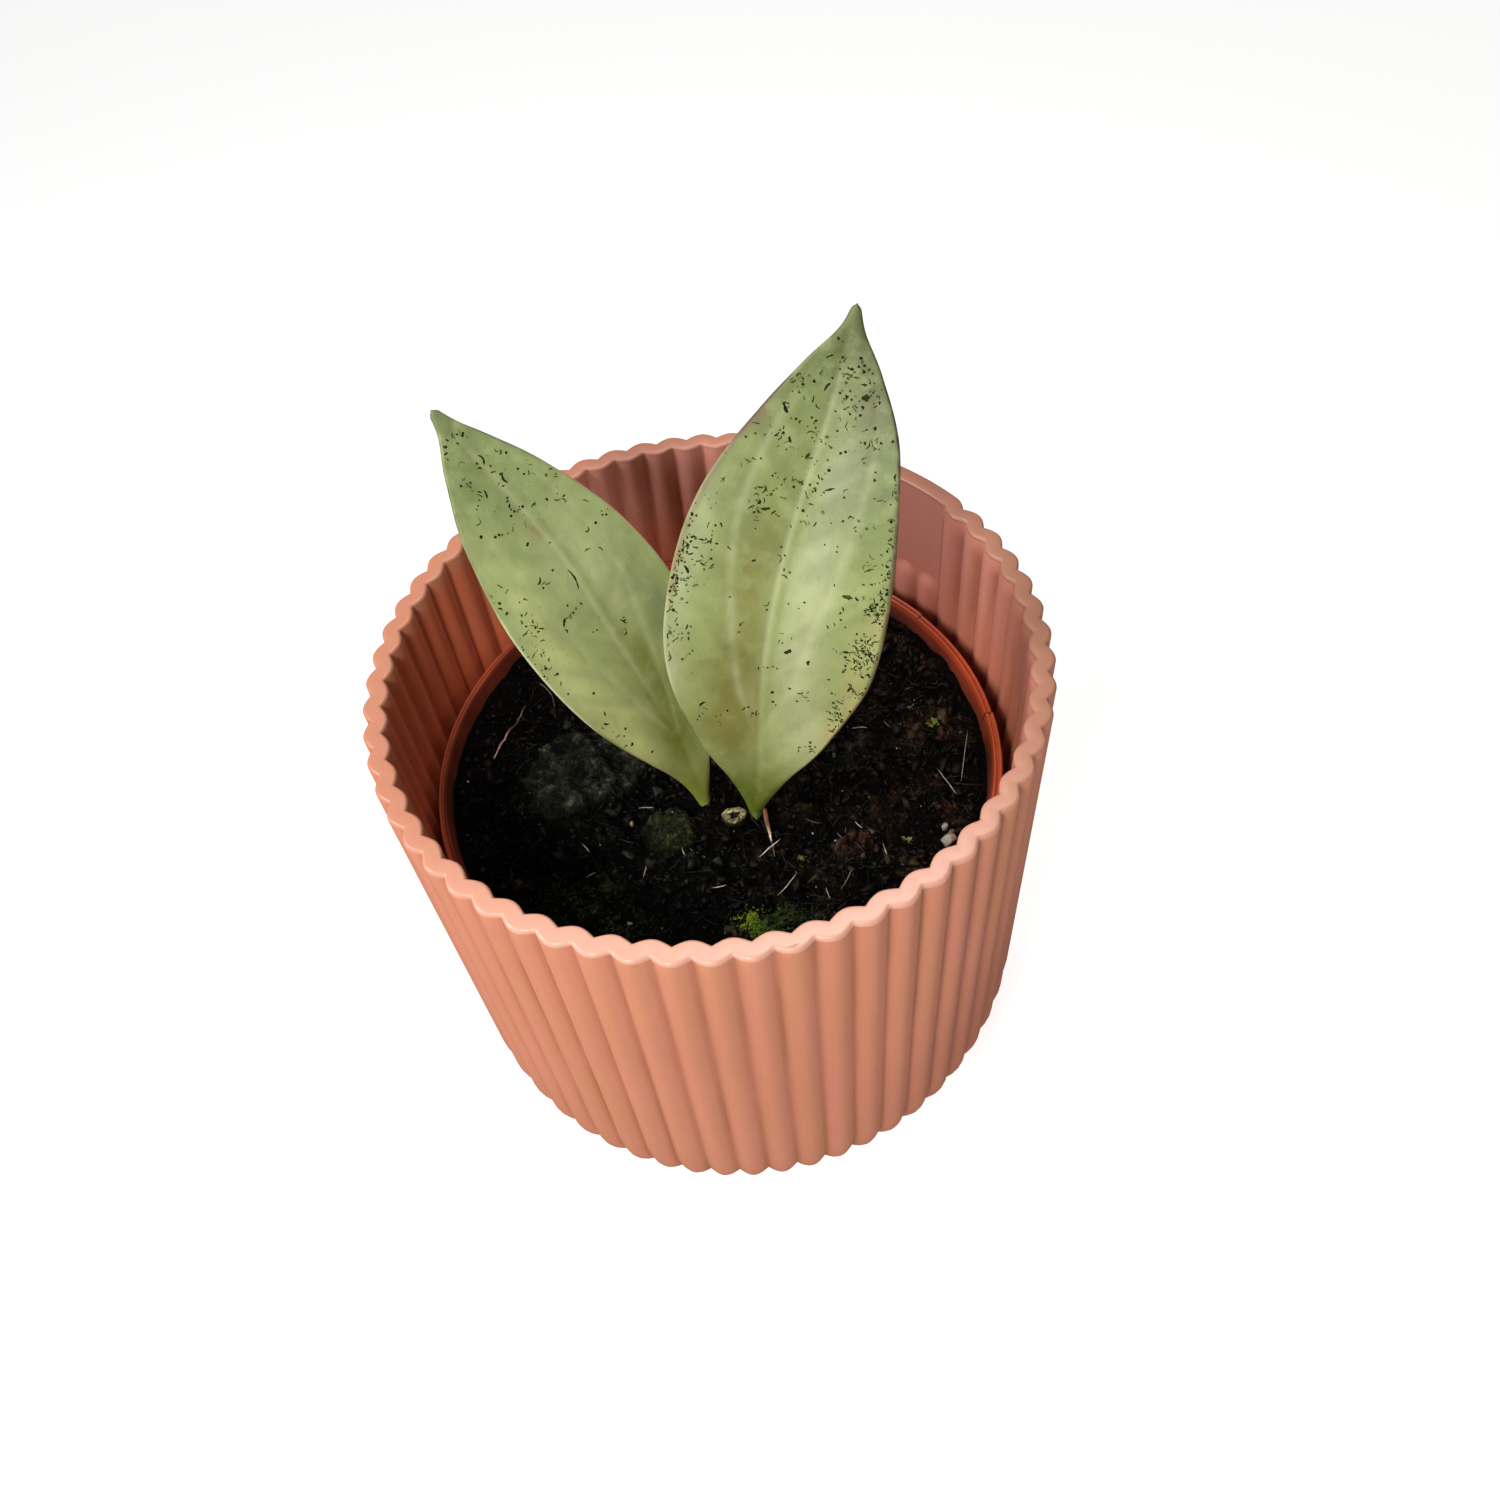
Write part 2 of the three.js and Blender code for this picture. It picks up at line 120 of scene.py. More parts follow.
# The clod's long direction, and what makes its middle zero along and across it
CLOD_WAY = (0.9, 0.43)
CLOD_SHIFT = (26.5, -12.8)
MOSSY_LUMP_RISE = 1.8
MOSSY_LUMP_AT = (-12.6, -18.6)
MOSSY_LUMP_REACH = (6.0, 5.6)
SOIL_BOTTOM = 7.8
SOIL_FOOT_RADIUS = 38.7
SOIL_SIDE = [
    # Height of each row up the side, and its gap to the nursery pot's wall
    (10.8, 0.6), (60, 0.5), (90, 0.3),
]
SOIL_COLUMNS = 460
SOIL_TOP_RINGS = 125
LITTER_REACH = 56.5
CRUMB_COUNT = 4600
FLAKE_COUNT = 420
GRIT_COUNT = 150
FIBRE_COUNT = 900
CRUMB_DUST = np.array([0.001, 0.0009, 0.0006])
CRUMB_SEED, GRIT_SEED, FIBRE_SEED, STRAW_SEED, MOSS_SEED = 5, 8, 11, 17, 23

# Stem, from its cut top down: middle of the section, half width and half depth
STEM_RINGS = [
    ((1.1, -17.4, 97.2), 2.7, 2.1),
    ((1.1, -16.8, 94.5), 2.7, 2.1),
    ((1.0, -15.8, 90.5), 2.8, 2.4),
    ((0.9, -15.0, 87.0), 3.5, 3.0),
    ((0.8, -14.2, 83.0), 2.8, 2.5),
    ((0.5, -12.5, 74.0), 2.4, 2.4),
    ((0.2, -11.0, 64.0), 2.2, 2.2),
]
STEM_CUT = [
    # Rise above the cut's edge, and share of the stem's width, from the edge over the wood into the pith
    (0.0, 0.98), (0.22, 0.9), (0.3, 0.8), (0.26, 0.7), (0.3, 0.6), (0.24, 0.5), (0.2, 0.42), (-0.1, 0.36),
    (-0.4, 0.28), (-0.7, 0.18),
]
PITH_ROWS = 4
STEM_COLUMNS = 48
STEM_RING_COUNT = 60
CUT_BELOW_TOP = 0.3
ROOT_START = (0.3, -11.6, 66.0)
ROOT_COUNT = 4
ROOT_RADIUS = 0.9
ROOT_REACH = 21.0
ROOT_DROP = 24.0
ROOT_FIRST_TURN = 0.1
ROOT_CURVE = [(0, 0), (0.35, 0.1), (0.75, 0.45), (1, 1)]

# Leaves
STALK_HALF_THICKNESS = 1.35
BLADE_HALF_THICKNESS = 0.7
MARGIN_HALF_THICKNESS = 0.4
MIDRIB_ROUND = 1.5
MARGIN_ROUND = 0.55
TIP_ROUND = 0.9
VEIN_ALONG = [0.16, 0.28, 0.37, 0.48, 0.55, 0.7, 1]
VEIN_OUT = [0, 0.24, 0.32, 0.41, 0.49, 0.6, 0.85]
BLADE_FOOT_STATION = 2.0
BACK_DULLED = (0.8, 0.82, 0.78)
BLADE_POINTS = 84
STALK_RINGS, BLADE_RINGS, TIP_RINGS = 20, 190, 34
TIP_REACH = 0.32
BACK_SHEET_AWAY = 60
WIDE_WAVE, FINE_WAVE = 0.22, 0.07
MIDRIB_PRESSED, VEIN_PRESSED, PRESSED_SPREAD = 0.16, 0.1, 0.9
KEEL_RISE, KEEL_SPREAD = 0.55, 1.7
SPECK_NEST_SPREAD = 0.75
SPECK_RINGS = 7
SPECK_HALF_THICKNESS = 0.03
SPECK_FROM_MARGIN, SPECK_FROM_FOOT = 0.4, 4

# Camera and light
CAMERA_PLACE = (0.0, -188.28, 340.87)
CAMERA_HEADING_DEG = 2.548
CAMERA_PITCH_DEG = 48.124
CAMERA_ROLL_DEG = -6.362
CAMERA_SENSOR = 36.0
CAMERA_LENS = 33.76
CAMERA_SHIFT = (0.0026, -0.0716)
LAMP_AIM = (0.0, -20.0, 110.0)
LAMPS = [
    # Name, place, width of the lamp, watts and tint
    ("window", (-395.0, -35.0, 430.0), 150.0, 1.35, (1.0, 0.98, 1.02)),
    ("lens_side", (-160.0, -320.0, 430.0), 120.0, 1.35, (1.0, 0.97, 0.9)),
    ("skylight", (55.0, 115.0, 510.0), 150.0, 0.58, (1.0, 1.0, 0.96)),
]
ROOM_LIGHT = 0.07
ROOM_TINT = (1.0, 0.86, 0.74, 1.0)
FLOOR_REACH = 6000.0
FLOOR_GLOW = 0.86

# Colours from 0 to 255, as a screen shows them
POT_PINK, POT_DULL_PINK, POT_TAN = (223, 146, 117), (216, 138, 112), (210, 142, 100)
POT_LIT_INSIDE, POT_SHADE_INSIDE, POT_GROOVE_SHADE = (240, 164, 148), (244, 102, 50), (150, 78, 52)
POT_SHADE_LOW_RIGHT, POT_SCUFF = (186, 114, 90), (84, 40, 22)
RIM_FRONT_SHEEN, RIM_BACK_SHADE, RIM_RIGHT_SHADE = (240, 184, 164), (200, 142, 119), (192, 134, 110)
NURSERY_ORANGE, NURSERY_BROWN, NURSERY_TAB = (186, 84, 47), (170, 72, 40), (170, 56, 36)
NURSERY_SMEAR_AND_SHADE, NURSERY_CUT = (58, 10, 7), (40, 12, 6)
LEAF_CLOUD, LEAF_STREAK, LEAF_FLECK = (184, 198, 144), (108, 124, 62), (84, 92, 44)
LEAF_SPECK, LEAF_SPECK_FADED = (44, 50, 18), (100, 114, 60)
PEAT_SHADED_LEFT, PEAT_RIGHT, CLOD_GREY, MOSSY_GREY = (19, 21, 17), (40, 31, 19), (56, 62, 52), (64, 72, 44)
TWIG_BARK, TWIG_HIGHLIGHT, ROOT_GREY = (70, 62, 46), (222, 170, 164), (138, 126, 116)
BRACT_BROWN, BRACT_HIGHLIGHT, BRACT_HAIR = (130, 82, 46), (255, 222, 198), (120, 106, 90)
STEM_BARK, STEM_WOOD, STEM_PITH, ROOT_TAN = (58, 50, 28), (172, 168, 120), (20, 6, 14), (190, 170, 130)


def paint(colour):
    """A colour from 0 to 255 as the linear colour that shaders take."""
    share = np.array(colour) / 255
    return np.where(share <= 0.04045, share / 12.92, ((share + 0.055) / 1.055) ** 2.4)


def mixed(under, over, mask):
    """The linear colour under, covered by a colour from 0 to 255 as far as the mask says."""
    mask = np.clip(mask, 0, 1)[..., None]
    return under * (1 - mask) + paint(over) * mask


def soft(value, low, high):
    """0 up to low and 1 from high, with 3 s squared minus 2 s cubed between them."""
    share = np.clip((value - low) / (high - low), 0, 1)
    return share * share * (3 - 2 * share)


def plateau(value, low, high, fade, end):
    """0 up to low, 1 from high to fade, and 0 from end, with soft sides."""
    return soft(value, low, high) * (1 - soft(value, fade, end))


def bell(distance, spread):
    """A bell curve: e to the minus of distance over spread, squared."""
    return np.exp(-((distance / spread) ** 2))


def full_turn(count):
    """Angles evenly spaced all round."""
    return np.linspace(0, 2 * np.pi, count, endpoint=False)


def lattice_noise(across, along, size, seed):
    """Random heights from -1 to 1 on a square lattice of that size, blended smoothly between its points."""
    table = np.random.default_rng(seed).uniform(-1, 1, (LATTICE, LATTICE))
    column, row = np.floor(across / size).astype(int), np.floor(along / size).astype(int)
    right, up = soft(across / size - column, 0, 1), soft(along / size - row, 0, 1)
    left_edge, right_edge = column % LATTICE, (column + 1) % LATTICE
    low_edge, high_edge = row % LATTICE, (row + 1) % LATTICE
    low = table[left_edge, low_edge] * (1 - right) + table[right_edge, low_edge] * right
    high = table[left_edge, high_edge] * (1 - right) + table[right_edge, high_edge] * right
    return low * (1 - up) + high * up


def unit(vectors):
    """Each vector divided by its length."""
    return vectors / np.linalg.norm(vectors, axis=-1, keepdims=True)


def catmull_rom(points, station):
    """The smooth curve through evenly numbered points, and its direction, at each station.

    Between points b and c, with a before and d after, at a share s of the way, it is half of
    2b + (c - a)s + (2a - 5b + 4c - d)s squared + (3b - a - 3c + d)s cubed.
    """
    points = np.array(points, float)
    spans = len(points) - 1
    row = np.vstack([2 * points[0] - points[1], points, 2 * points[-1] - points[-2]])
    span = np.clip(np.floor(station).astype(int), 0, spans - 1)
    s = (station - span)[..., None]
    a, b, c, d = row[span], row[span + 1], row[span + 2], row[span + 3]
    square, cube = 2 * a - 5 * b + 4 * c - d, 3 * b - a - 3 * c + d
    place = (2 * b + (c - a) * s + square * s**2 + cube * s**3) / 2
    direction = ((c - a) + 2 * square * s + 3 * cube * s**2) / 2
    return place, direction


class Field:
    """A value that varies over a surface: a node's output, with the operators that add Math nodes."""

    def __init__(self, finish, socket):
        self.finish = finish
        self.socket = socket

    def __add__(self, other):
        return self.finish.math("ADD", self, other)

    def __sub__(self, other):
        return self.finish.math("SUBTRACT", self, other)

    def __rsub__(self, other):
        return self.finish.math("SUBTRACT", other, self)

    def __mul__(self, other):
        return self.finish.math("MULTIPLY", self, other)

    __radd__ = __add__
    __rmul__ = __mul__

    def between(self, low, high):
        """0 up to low and 1 from high, smooth between them."""
        inputs = {"Value": self, "From Min": low, "From Max": high}
        return self.finish.node("ShaderNodeMapRange", {"interpolation_type": "SMOOTHSTEP"}, inputs)


class Finish:
    """A material that is being made, from its texture nodes to its Principled shader."""

    def __init__(self, name):
        self.material = bpy.data.materials.new(name)
        self.material.use_nodes = True
        self.tree = self.material.node_tree
        self.tree.nodes.clear()

    def node(self, kind, settings, inputs, output=0):
        """Adds a node of that type, sets its settings, then its sockets from values or links."""
        node = self.tree.nodes.new(kind)
        for setting, value in settings.items():
            setattr(node, setting, value)
        for socket, value in inputs.items():
            if isinstance(value, Field):
                self.tree.links.new(value.socket, node.inputs[socket])
            else:
                node.inputs[socket].default_value = value
        return Field(self, node.outputs[output]) if node.outputs else None

    def math(self, operation, first, second):
        """Two fields or numbers put through one Math node."""
        return self.node("ShaderNodeMath", {"operation": operation}, {0: first, 1: second})

    def place(self):
        """Where a point is on the piece, in metres."""
        return self.node("ShaderNodeTexCoord", {}, {}, "Object")

    def sheet(self):
        """Where a point is on the piece's flattened sheet, in millimetres."""
        return self.node("ShaderNodeUVMap", {"uv_map": "sheet"}, {})

    def shade(self, name, output="Fac"):
        """A value or colour that the mesh holds at its points."""
        return self.node("ShaderNodeAttribute", {"attribute_name": name}, {}, output)

    def stretched(self, where, by):
        """The place multiplied by a number for each of its directions."""
        return self.node("ShaderNodeVectorMath", {"operation": "MULTIPLY"}, {0: where, 1: by})

    def noise(self, where, per_unit, detail=3.0, roughness=0.55):
        """Cloudy noise from 0 to 1, with that many of its largest clouds to a unit of the place."""
        inputs = {"Vector": where, "Scale": per_unit, "Detail": detail, "Roughness": roughness}
        return self.node("ShaderNodeTexNoise", {}, inputs)

    def cells(self, where, per_unit, output="Distance"):
        """Scattered points, one to a cell: the distance to the nearest, or that cell's random colour."""
        return self.node("ShaderNodeTexVoronoi", {}, {"Vector": where, "Scale": per_unit}, output)

    def mix(self, mask, under, over, blend="MIX"):
        """The colour under, covered by the colour over as far as the mask says."""
        settings = {"data_type": "RGBA", "blend_type": blend}
        return self.node("ShaderNodeMix", settings, {0: mask, 6: under, 7: over}, 2)

    def coats(self, base, *layers):
        """The base, a link or a colour from 0 to 255, under layers that are each a mask and a colour."""
        colour = base if isinstance(base, Field) else (*paint(base), 1)
        for mask, layer in layers:
            colour = self.mix(mask, colour, (*paint(layer), 1))
        return colour

    def done(self, colour, roughness, gloss, height=None, depth=0.1, more=None):
        """Ends the material in a Principled shader, with a bump of that depth in millimetres."""
        sockets = {"Base Color": colour, "Roughness": roughness, "Specular IOR Level": gloss, **(more or {})}
        if height is not None:
            bump = {"Strength": 1.0, "Distance": depth * MM, "Height": height}
            sockets["Normal"] = self.node("ShaderNodeBump", {}, bump)
        shader = self.node("ShaderNodeBsdfPrincipled", {}, sockets)
        self.node("ShaderNodeOutputMaterial", {}, {"Surface": shader})
        return self.material


def cover_pot_plastic():
    """Salmon pink satin plastic: upright streaks, scuffs on the front rim, painted shade in the grooves and
    low inside, painted light inside and a painted sheen on the front rim.
    """
    finish = Finish("salmon plastic")
    place = finish.place()
    to_right, front, height = (
        finish.node("ShaderNodeSeparateXYZ", {}, {"Vector": place}, axis) for axis in "XYZ"
    )
    patches = finish.noise(place, 22, 4).between(0.3, 0.75)
    streaks = finish.noise(finish.stretched(place, (1, 1, 0.12)), 210, 3).between(0.35, 0.7)
    grain = finish.noise(place, 1400, 2)
    # Painted shade on the outside, low at the right
    painted_shade_low_right = to_right.between(8 * MM, 55 * MM) * (1 - height.between(30 * MM, 105 * MM))
    on_rim = height.between(RIM_FACE_FROM * MM, RIM_FACE_TO * MM)
    in_front = 1 - front.between(-64 * MM, -20 * MM)
    at_right = to_right.between(15 * MM, 62 * MM) * (1 - front.between(5 * MM, 55 * MM) * 0.85)
    colour = finish.coats(
        POT_PINK,
        (patches, POT_DULL_PINK),
        (streaks * 0.5, POT_TAN),
        # Painted light inside at the upper right and on the domes, painted shade low inside, at the left and
        # in the grooves
        (finish.shade("lightened") * 0.7, POT_LIT_INSIDE),
        (finish.shade("deep") * 0.6, POT_SHADE_INSIDE),
        (finish.shade("groove") * (0.3 + streaks * 0.25), POT_GROOVE_SHADE),
        (painted_shade_low_right * 0.9, POT_SHADE_LOW_RIGHT),
        # Painted sheen on the front of the rim, and painted shade on its back and right
        (on_rim * in_front * 0.8, RIM_FRONT_SHEEN),
        (on_rim * (1 - in_front) * 0.5, RIM_BACK_SHADE),
        (on_rim * (1 - in_front) * at_right * 0.9, RIM_RIGHT_SHADE),
    )
    torn = finish.noise(place, 1100, 3, 0.7).between(0.45, 0.6)
    squash = (0.4, 1.8, 2)
    for *at, reach in RIM_SCUFFS:
        near = {0: finish.stretched(place, squash), 1: tuple(np.multiply(at, squash) * MM)}
        away = finish.node("ShaderNodeVectorMath", {"operation": "DISTANCE"}, near, "Value")
        mark = 1 - away.between(0.5 * reach * MM, reach * MM)
        colour = finish.coats(colour, (mark * (0.35 + torn * 0.6), POT_SCUFF))
    return finish.done(colour, patches * 0.05 + 0.3, 0.5, grain + streaks * 0.5, 0.012)


def nursery_plastic():
    """Brick orange plastic, thin and a little glossy, redder on its tab, smeared with soil and painted with
    shade inside.
    """
    finish = Finish("brick orange plastic")
    place = finish.place()
    patches = finish.noise(place, 60, 4)
    smear_shade_mask = finish.shade("smear_and_shade") * (0.7 + patches.between(0.35, 0.65) * 0.3)
    colour = finish.coats(
        NURSERY_ORANGE,
        (patches.between(0.3, 0.7), NURSERY_BROWN),
        (finish.shade("redder") * 0.35, NURSERY_TAB),
        (smear_shade_mask, NURSERY_SMEAR_AND_SHADE),
        (finish.shade("cut") * 0.9, NURSERY_CUT),
    )
    grain = finish.noise(finish.stretched(place, (1, 1, 0.15)), 500, 2)
    return finish.done(colour, patches * 0.15 + 0.3 + smear_shade_mask * 0.4, 0.4, grain, 0.03)


def damp_peat():
    """Near black damp peat: the mesh's own tint, broken up by painted shade in dark gaps and between clumps,
    and fine pale flecks.
    """
    finish = Finish("damp peat")
    place = finish.place()
    fine = finish.noise(place, 900, 6, 0.7)
    gaps = finish.noise(place, 330, 5, 0.65).between(0.42, 0.58)
    clumps = finish.noise(place, 130, 5, 0.7).between(0.44, 0.55)
    level = finish.mix(fine.between(0.4, 0.7), (0.4, 0.4, 0.4, 1), (1.9, 1.8, 1.65, 1))
    colour = finish.mix(1.0, level, finish.shade("tint", "Color"), "MULTIPLY")
    # Painted shade in the dark gaps and between the clumps
    lit = (gaps * 0.85 + 0.15) * (clumps * 0.88 + 0.12)
    lit = finish.math("MAXIMUM", lit, finish.shade("whole") * (0.25 + gaps * 0.75))
    colour = finish.mix(lit, (0.0005, 0.0004, 0.0003, 1), colour)
    rough = finish.noise(place, 1300, 3).between(0.35, 0.7)
    return finish.done(colour, rough * 0.4 + 0.4, 0.07, fine + gaps + clumps, 0.5)


def crumb_finish(name, roughness, bump=0.25, gloss=0.4):
    """Crumbs, fibres and moss: each keeps its own colour, with fine grain over it."""
    finish = Finish(name)
    place = finish.place()
    grain = finish.noise(place, 1600, 4, 0.65)
    colour = finish.mix(1.0, finish.shade("tint", "Color"), (0.55, 0.55, 0.55, 1), "MULTIPLY")
    colour = finish.mix(grain.between(0.35, 0.65), colour, finish.shade("tint", "Color"))
    return finish.done(colour, roughness, gloss, grain, bump)


def leaf_skin():
    """Waxy leaf skin: the tint of its zones, cloudy marbling, faint flecks and fine pores."""
    finish = Finish("leaf skin")
    sheet = finish.sheet()
    cloud = finish.noise(sheet, 0.22, 5, 0.6)
    streak = finish.noise(finish.stretched(sheet, (1, 0.3, 1)), 0.7, 4, 0.6)
    grid = finish.stretched(sheet, (1.1, 0.7, 1))
    flecks = 1 - finish.cells(grid, 1.0).between(0.10, 0.24)
    chance = finish.cells(grid, 1.0, "Color").between(0.62, 0.68)
    colour = finish.coats(
        finish.shade("tint", "Color"),
        (cloud.between(0.45, 0.75) * 0.35, LEAF_CLOUD),
        (streak.between(0.5, 0.85) * 0.3, LEAF_STREAK),
        (flecks * chance * finish.shade("flecked") * 0.8, LEAF_FLECK),
    )
    pores = finish.noise(sheet, 3.0, 3, 0.6)
    coat = {"Coat Weight": 0.08, "Coat Roughness": 0.35}
    return finish.done(colour, cloud * 0.12 + 0.4, 0.35, pores + cloud * 2, 0.06, coat)


def added(name, data):
    """A new object of the scene that holds the data."""
    thing = bpy.data.objects.new(name, data)
    bpy.context.scene.collection.objects.link(thing)
    return thing


def with_ends(values):
    """The values of each skin's rings, followed by the averages of its first and its last ring."""
    ends = np.stack([values[:, 0].mean(axis=1), values[:, -1].mean(axis=1)], axis=1)
    flat = values.reshape(len(values), -1, *values.shape[3:])
    return np.concatenate([flat, ends], axis=1).reshape(-1, *values.shape[3:])


def skin_faces(count, ring_count, around):
    """Quads that join neighbouring rings all round, and fans that close each end on its own point."""
    own = ring_count * around
    ring, side = np.meshgrid(np.arange(ring_count - 1), np.arange(around), indexing="ij")
    here, beside = ring * around + side, ring * around + (side + 1) % around
    quads = np.stack([here, beside, beside + around, here + around], axis=-1).reshape(-1, 4)
    first = np.arange(around)
    last = first + own - around
    after = (first + 1) % around
    fans = np.concatenate([
        np.stack([np.full(around, own), after, first], axis=-1),
        np.stack([np.full(around, own + 1), last, after + own - around], axis=-1),
    ])
    start = (np.arange(count) * (own + 2))[:, None, None]
    return (quads + start).reshape(-1, 4), (fans + start).reshape(-1, 3)


def hold_shade(mesh, shade, values):
    """Stores one value or one colour at each of the mesh's points."""
    if values.ndim == 2:
        layer = mesh.color_attributes.new(shade, "FLOAT_COLOR", "POINT")
        full = np.concatenate([values[:, :3], np.ones((len(values), 1))], axis=1)
        layer.data.foreach_set("color", full.astype(np.float32).ravel())
    else:
        layer = mesh.attributes.new(shade, "FLOAT", "POINT")
        layer.data.foreach_set("value", values.astype(np.float32))


def skins(name, rings, material, ends=None, stands_for=(), shades=None, sheet=None):
    """Closed skins over rings of points, as one piece.

    rings holds a skin, a ring, a point and its x, y and z. Each end closes on one point: its ring's
    average, or the point that ends gives. A piece that comes out inside out is turned over.
    """
    count, ring_count, around = rings.shape[:3]
    points = with_ends(rings)
    if ends is not None:
        own = ring_count * around
        points.reshape(count, own + 2, 3)[:, own:] = ends
    quads, fans = skin_faces(count, ring_count, around)
    if inside_out(points, quads, fans):
        quads, fans = quads[:, ::-1], fans[:, ::-1]

    mesh = bpy.data.meshes.new(name)
    corners = np.concatenate([quads.ravel(), fans.ravel()]).astype(np.int32)
    starts = np.concatenate([np.arange(len(quads)) * 4, quads.size + np.arange(len(fans)) * 3])
    mesh.vertices.add(len(points))
    mesh.vertices.foreach_set("co", (points * MM).astype(np.float32).ravel())
    mesh.loops.add(len(corners))
    mesh.loops.foreach_set("vertex_index", corners)
    mesh.polygons.add(len(starts))
    mesh.polygons.foreach_set("loop_start", starts.astype(np.int32))
    mesh.update(calc_edges=True)
    mesh.polygons.foreach_set("use_smooth", np.ones(len(starts), bool))
    for shade, values in (shades or {}).items():
        hold_shade(mesh, shade, with_ends(np.broadcast_to(values, (*rings.shape[:3], *values.shape[3:]))))
    if sheet is not None:
        flat = with_ends(sheet)[corners]
        mesh.uv_layers.new(name="sheet").data.foreach_set("uv", flat.astype(np.float32).ravel())
    mesh.materials.append(material)
    mesh.validate()
    piece = added(name, mesh)
    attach(piece, "root")
    for node in stands_for:
        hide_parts(node)
    return piece


def inside_out(points, quads, fans):
    """True where the volume under all faces, a sixth of a dot (b cross c) for each triangle, is negative."""
    triangles = np.concatenate([quads[:, [0, 1, 2]], quads[:, [0, 2, 3]], fans])
    a, b, c = (points[triangles[:, corner]] for corner in range(3))
    return np.einsum("ij,ij->", a, np.cross(b, c)) < 0


def tubes(paths, half_widths, half_heights, around, facing=(0.0, 0.0, 1.0)):
    """An oval tube along each path: width across the path and the facing direction, height along it."""
    forward = unit(np.gradient(paths, axis=1))
    side = unit(np.cross(forward, np.broadcast_to(facing, paths.shape)))
    up = np.cross(side, forward)
    turn = full_turn(around)
    wide = np.cos(turn)[:, None] * (side * half_widths[..., None])[:, :, None]
    high = np.sin(turn)[:, None] * (up * half_heights[..., None])[:, :, None]
    return paths[:, :, None] + wide + high


def lumps(centres, sizes, dice, rings=3, around=6, roughness=0.3, thinnest=0.4):
    """Small irregular lumps: a ball's rings, each point moved in or out at random, squashed and turned."""
    count = len(centres)
    rise = np.linspace(-np.pi / 2, np.pi / 2, rings + 2)[1:-1]
    turn = full_turn(around)
    ball = np.stack([
        np.cos(rise)[:, None] * np.cos(turn),
        np.cos(rise)[:, None] * np.sin(turn),
        np.sin(rise)[:, None] * np.ones(around),
    ], axis=-1)
    reach = 1 + dice.uniform(-roughness, roughness, (count, rings, around, 1))
    squash = dice.uniform(thinnest, 1.0, (count, 3)) * sizes[:, None]
    turned = turned_frames(count, dice)
    shape = (ball * reach * squash[:, None, None]) @ turned[:, None]
    poles = (np.array([[0, 0, -1.0], [0, 0, 1.0]]) * squash[:, None]) @ turned
    return centres[:, None, None] + shape, centres[:, None] + poles


def turned_frames(count, dice):
    """Random turns: three square directions for each, from a random direction and one across it."""
    first = unit(dice.normal(size=(count, 3)))
    second = unit(np.cross(first, dice.normal(size=(count, 3))))
    return np.stack([first, second, np.cross(first, second)], axis=1)


def pot_radius(rim_radius, height):
    """Radius at a height of a wall that narrows evenly from its rim down."""
    return rim_radius - POT_WALL_SLOPE * (POT_HEIGHT - height)


def pot_rows(rim_radius, floor, corner):
    """One side of the wall from the floor to under the rim: radius, height, outward direction, rib share.

    The corner at the floor is a quarter round, and a straight wall that widens upwards follows it. The
    rows crowd where the ribs end in domes.
    """
    centre = floor + corner
    centre_radius = pot_radius(rim_radius, centre) - corner * np.hypot(1, POT_WALL_SLOPE)
    angle = np.linspace(0, np.pi / 2 - np.arctan(POT_WALL_SLOPE), 16)
    dome = np.sin(np.linspace(0, np.pi / 2, 9)[1:])
    heights = np.concatenate([
        np.linspace(centre, PANEL_FOOT - RIB_TOP_ROUND, 8)[1:],
        PANEL_FOOT - RIB_TOP_ROUND * (1 - dome),
        [PANEL_FOOT + 0.25],
        np.linspace(PANEL_FOOT, POT_HEIGHT - POT_RIM_ROUND, 6)[1:],
    ])
    straight = np.ones(len(heights))
    radius = np.concatenate([centre_radius + corner * np.sin(angle), pot_radius(rim_radius, heights)])
    height = np.concatenate([centre - corner * np.cos(angle), heights])
    out_radius = np.concatenate([np.sin(angle), np.sin(angle[-1]) * straight])
    out_height = np.concatenate([-np.cos(angle), -np.cos(angle[-1]) * straight])
    share = np.concatenate([np.sqrt(np.sin(angle)), straight])
    return radius, height, out_radius, out_height, share


def rib_relief(from_crest, height, inside):
    """How far the ribs sink the outer face, or bulge the inner face, as a share of their depth.

    Round the pot the outer face follows 1 minus the size of a cosine, and the inner face the size of a
    sine. The ribs stop in domes under the smooth panel: there the same curve is read at the distance
    from the dome's middle.
    """
    under_panel = (from_crest > PANEL_FROM) & (from_crest < PANEL_TO)
    below = np.clip((PANEL_FOOT - height) / RIB_TOP_ROUND, 0, 1)
    across = 2 * (from_crest / RIB_PITCH - np.floor(from_crest / RIB_PITCH)) - 1
    if inside:
        spread = np.where(under_panel, 1 - below, 0)
        return np.cos(np.pi / 2 * np.minimum(1, np.hypot(across, spread)))
    fade = np.where(under_panel, np.sqrt(1 - (1 - below) ** 2), 1)
    return (1 - np.abs(np.sin(np.pi / 2 * across))) * fade


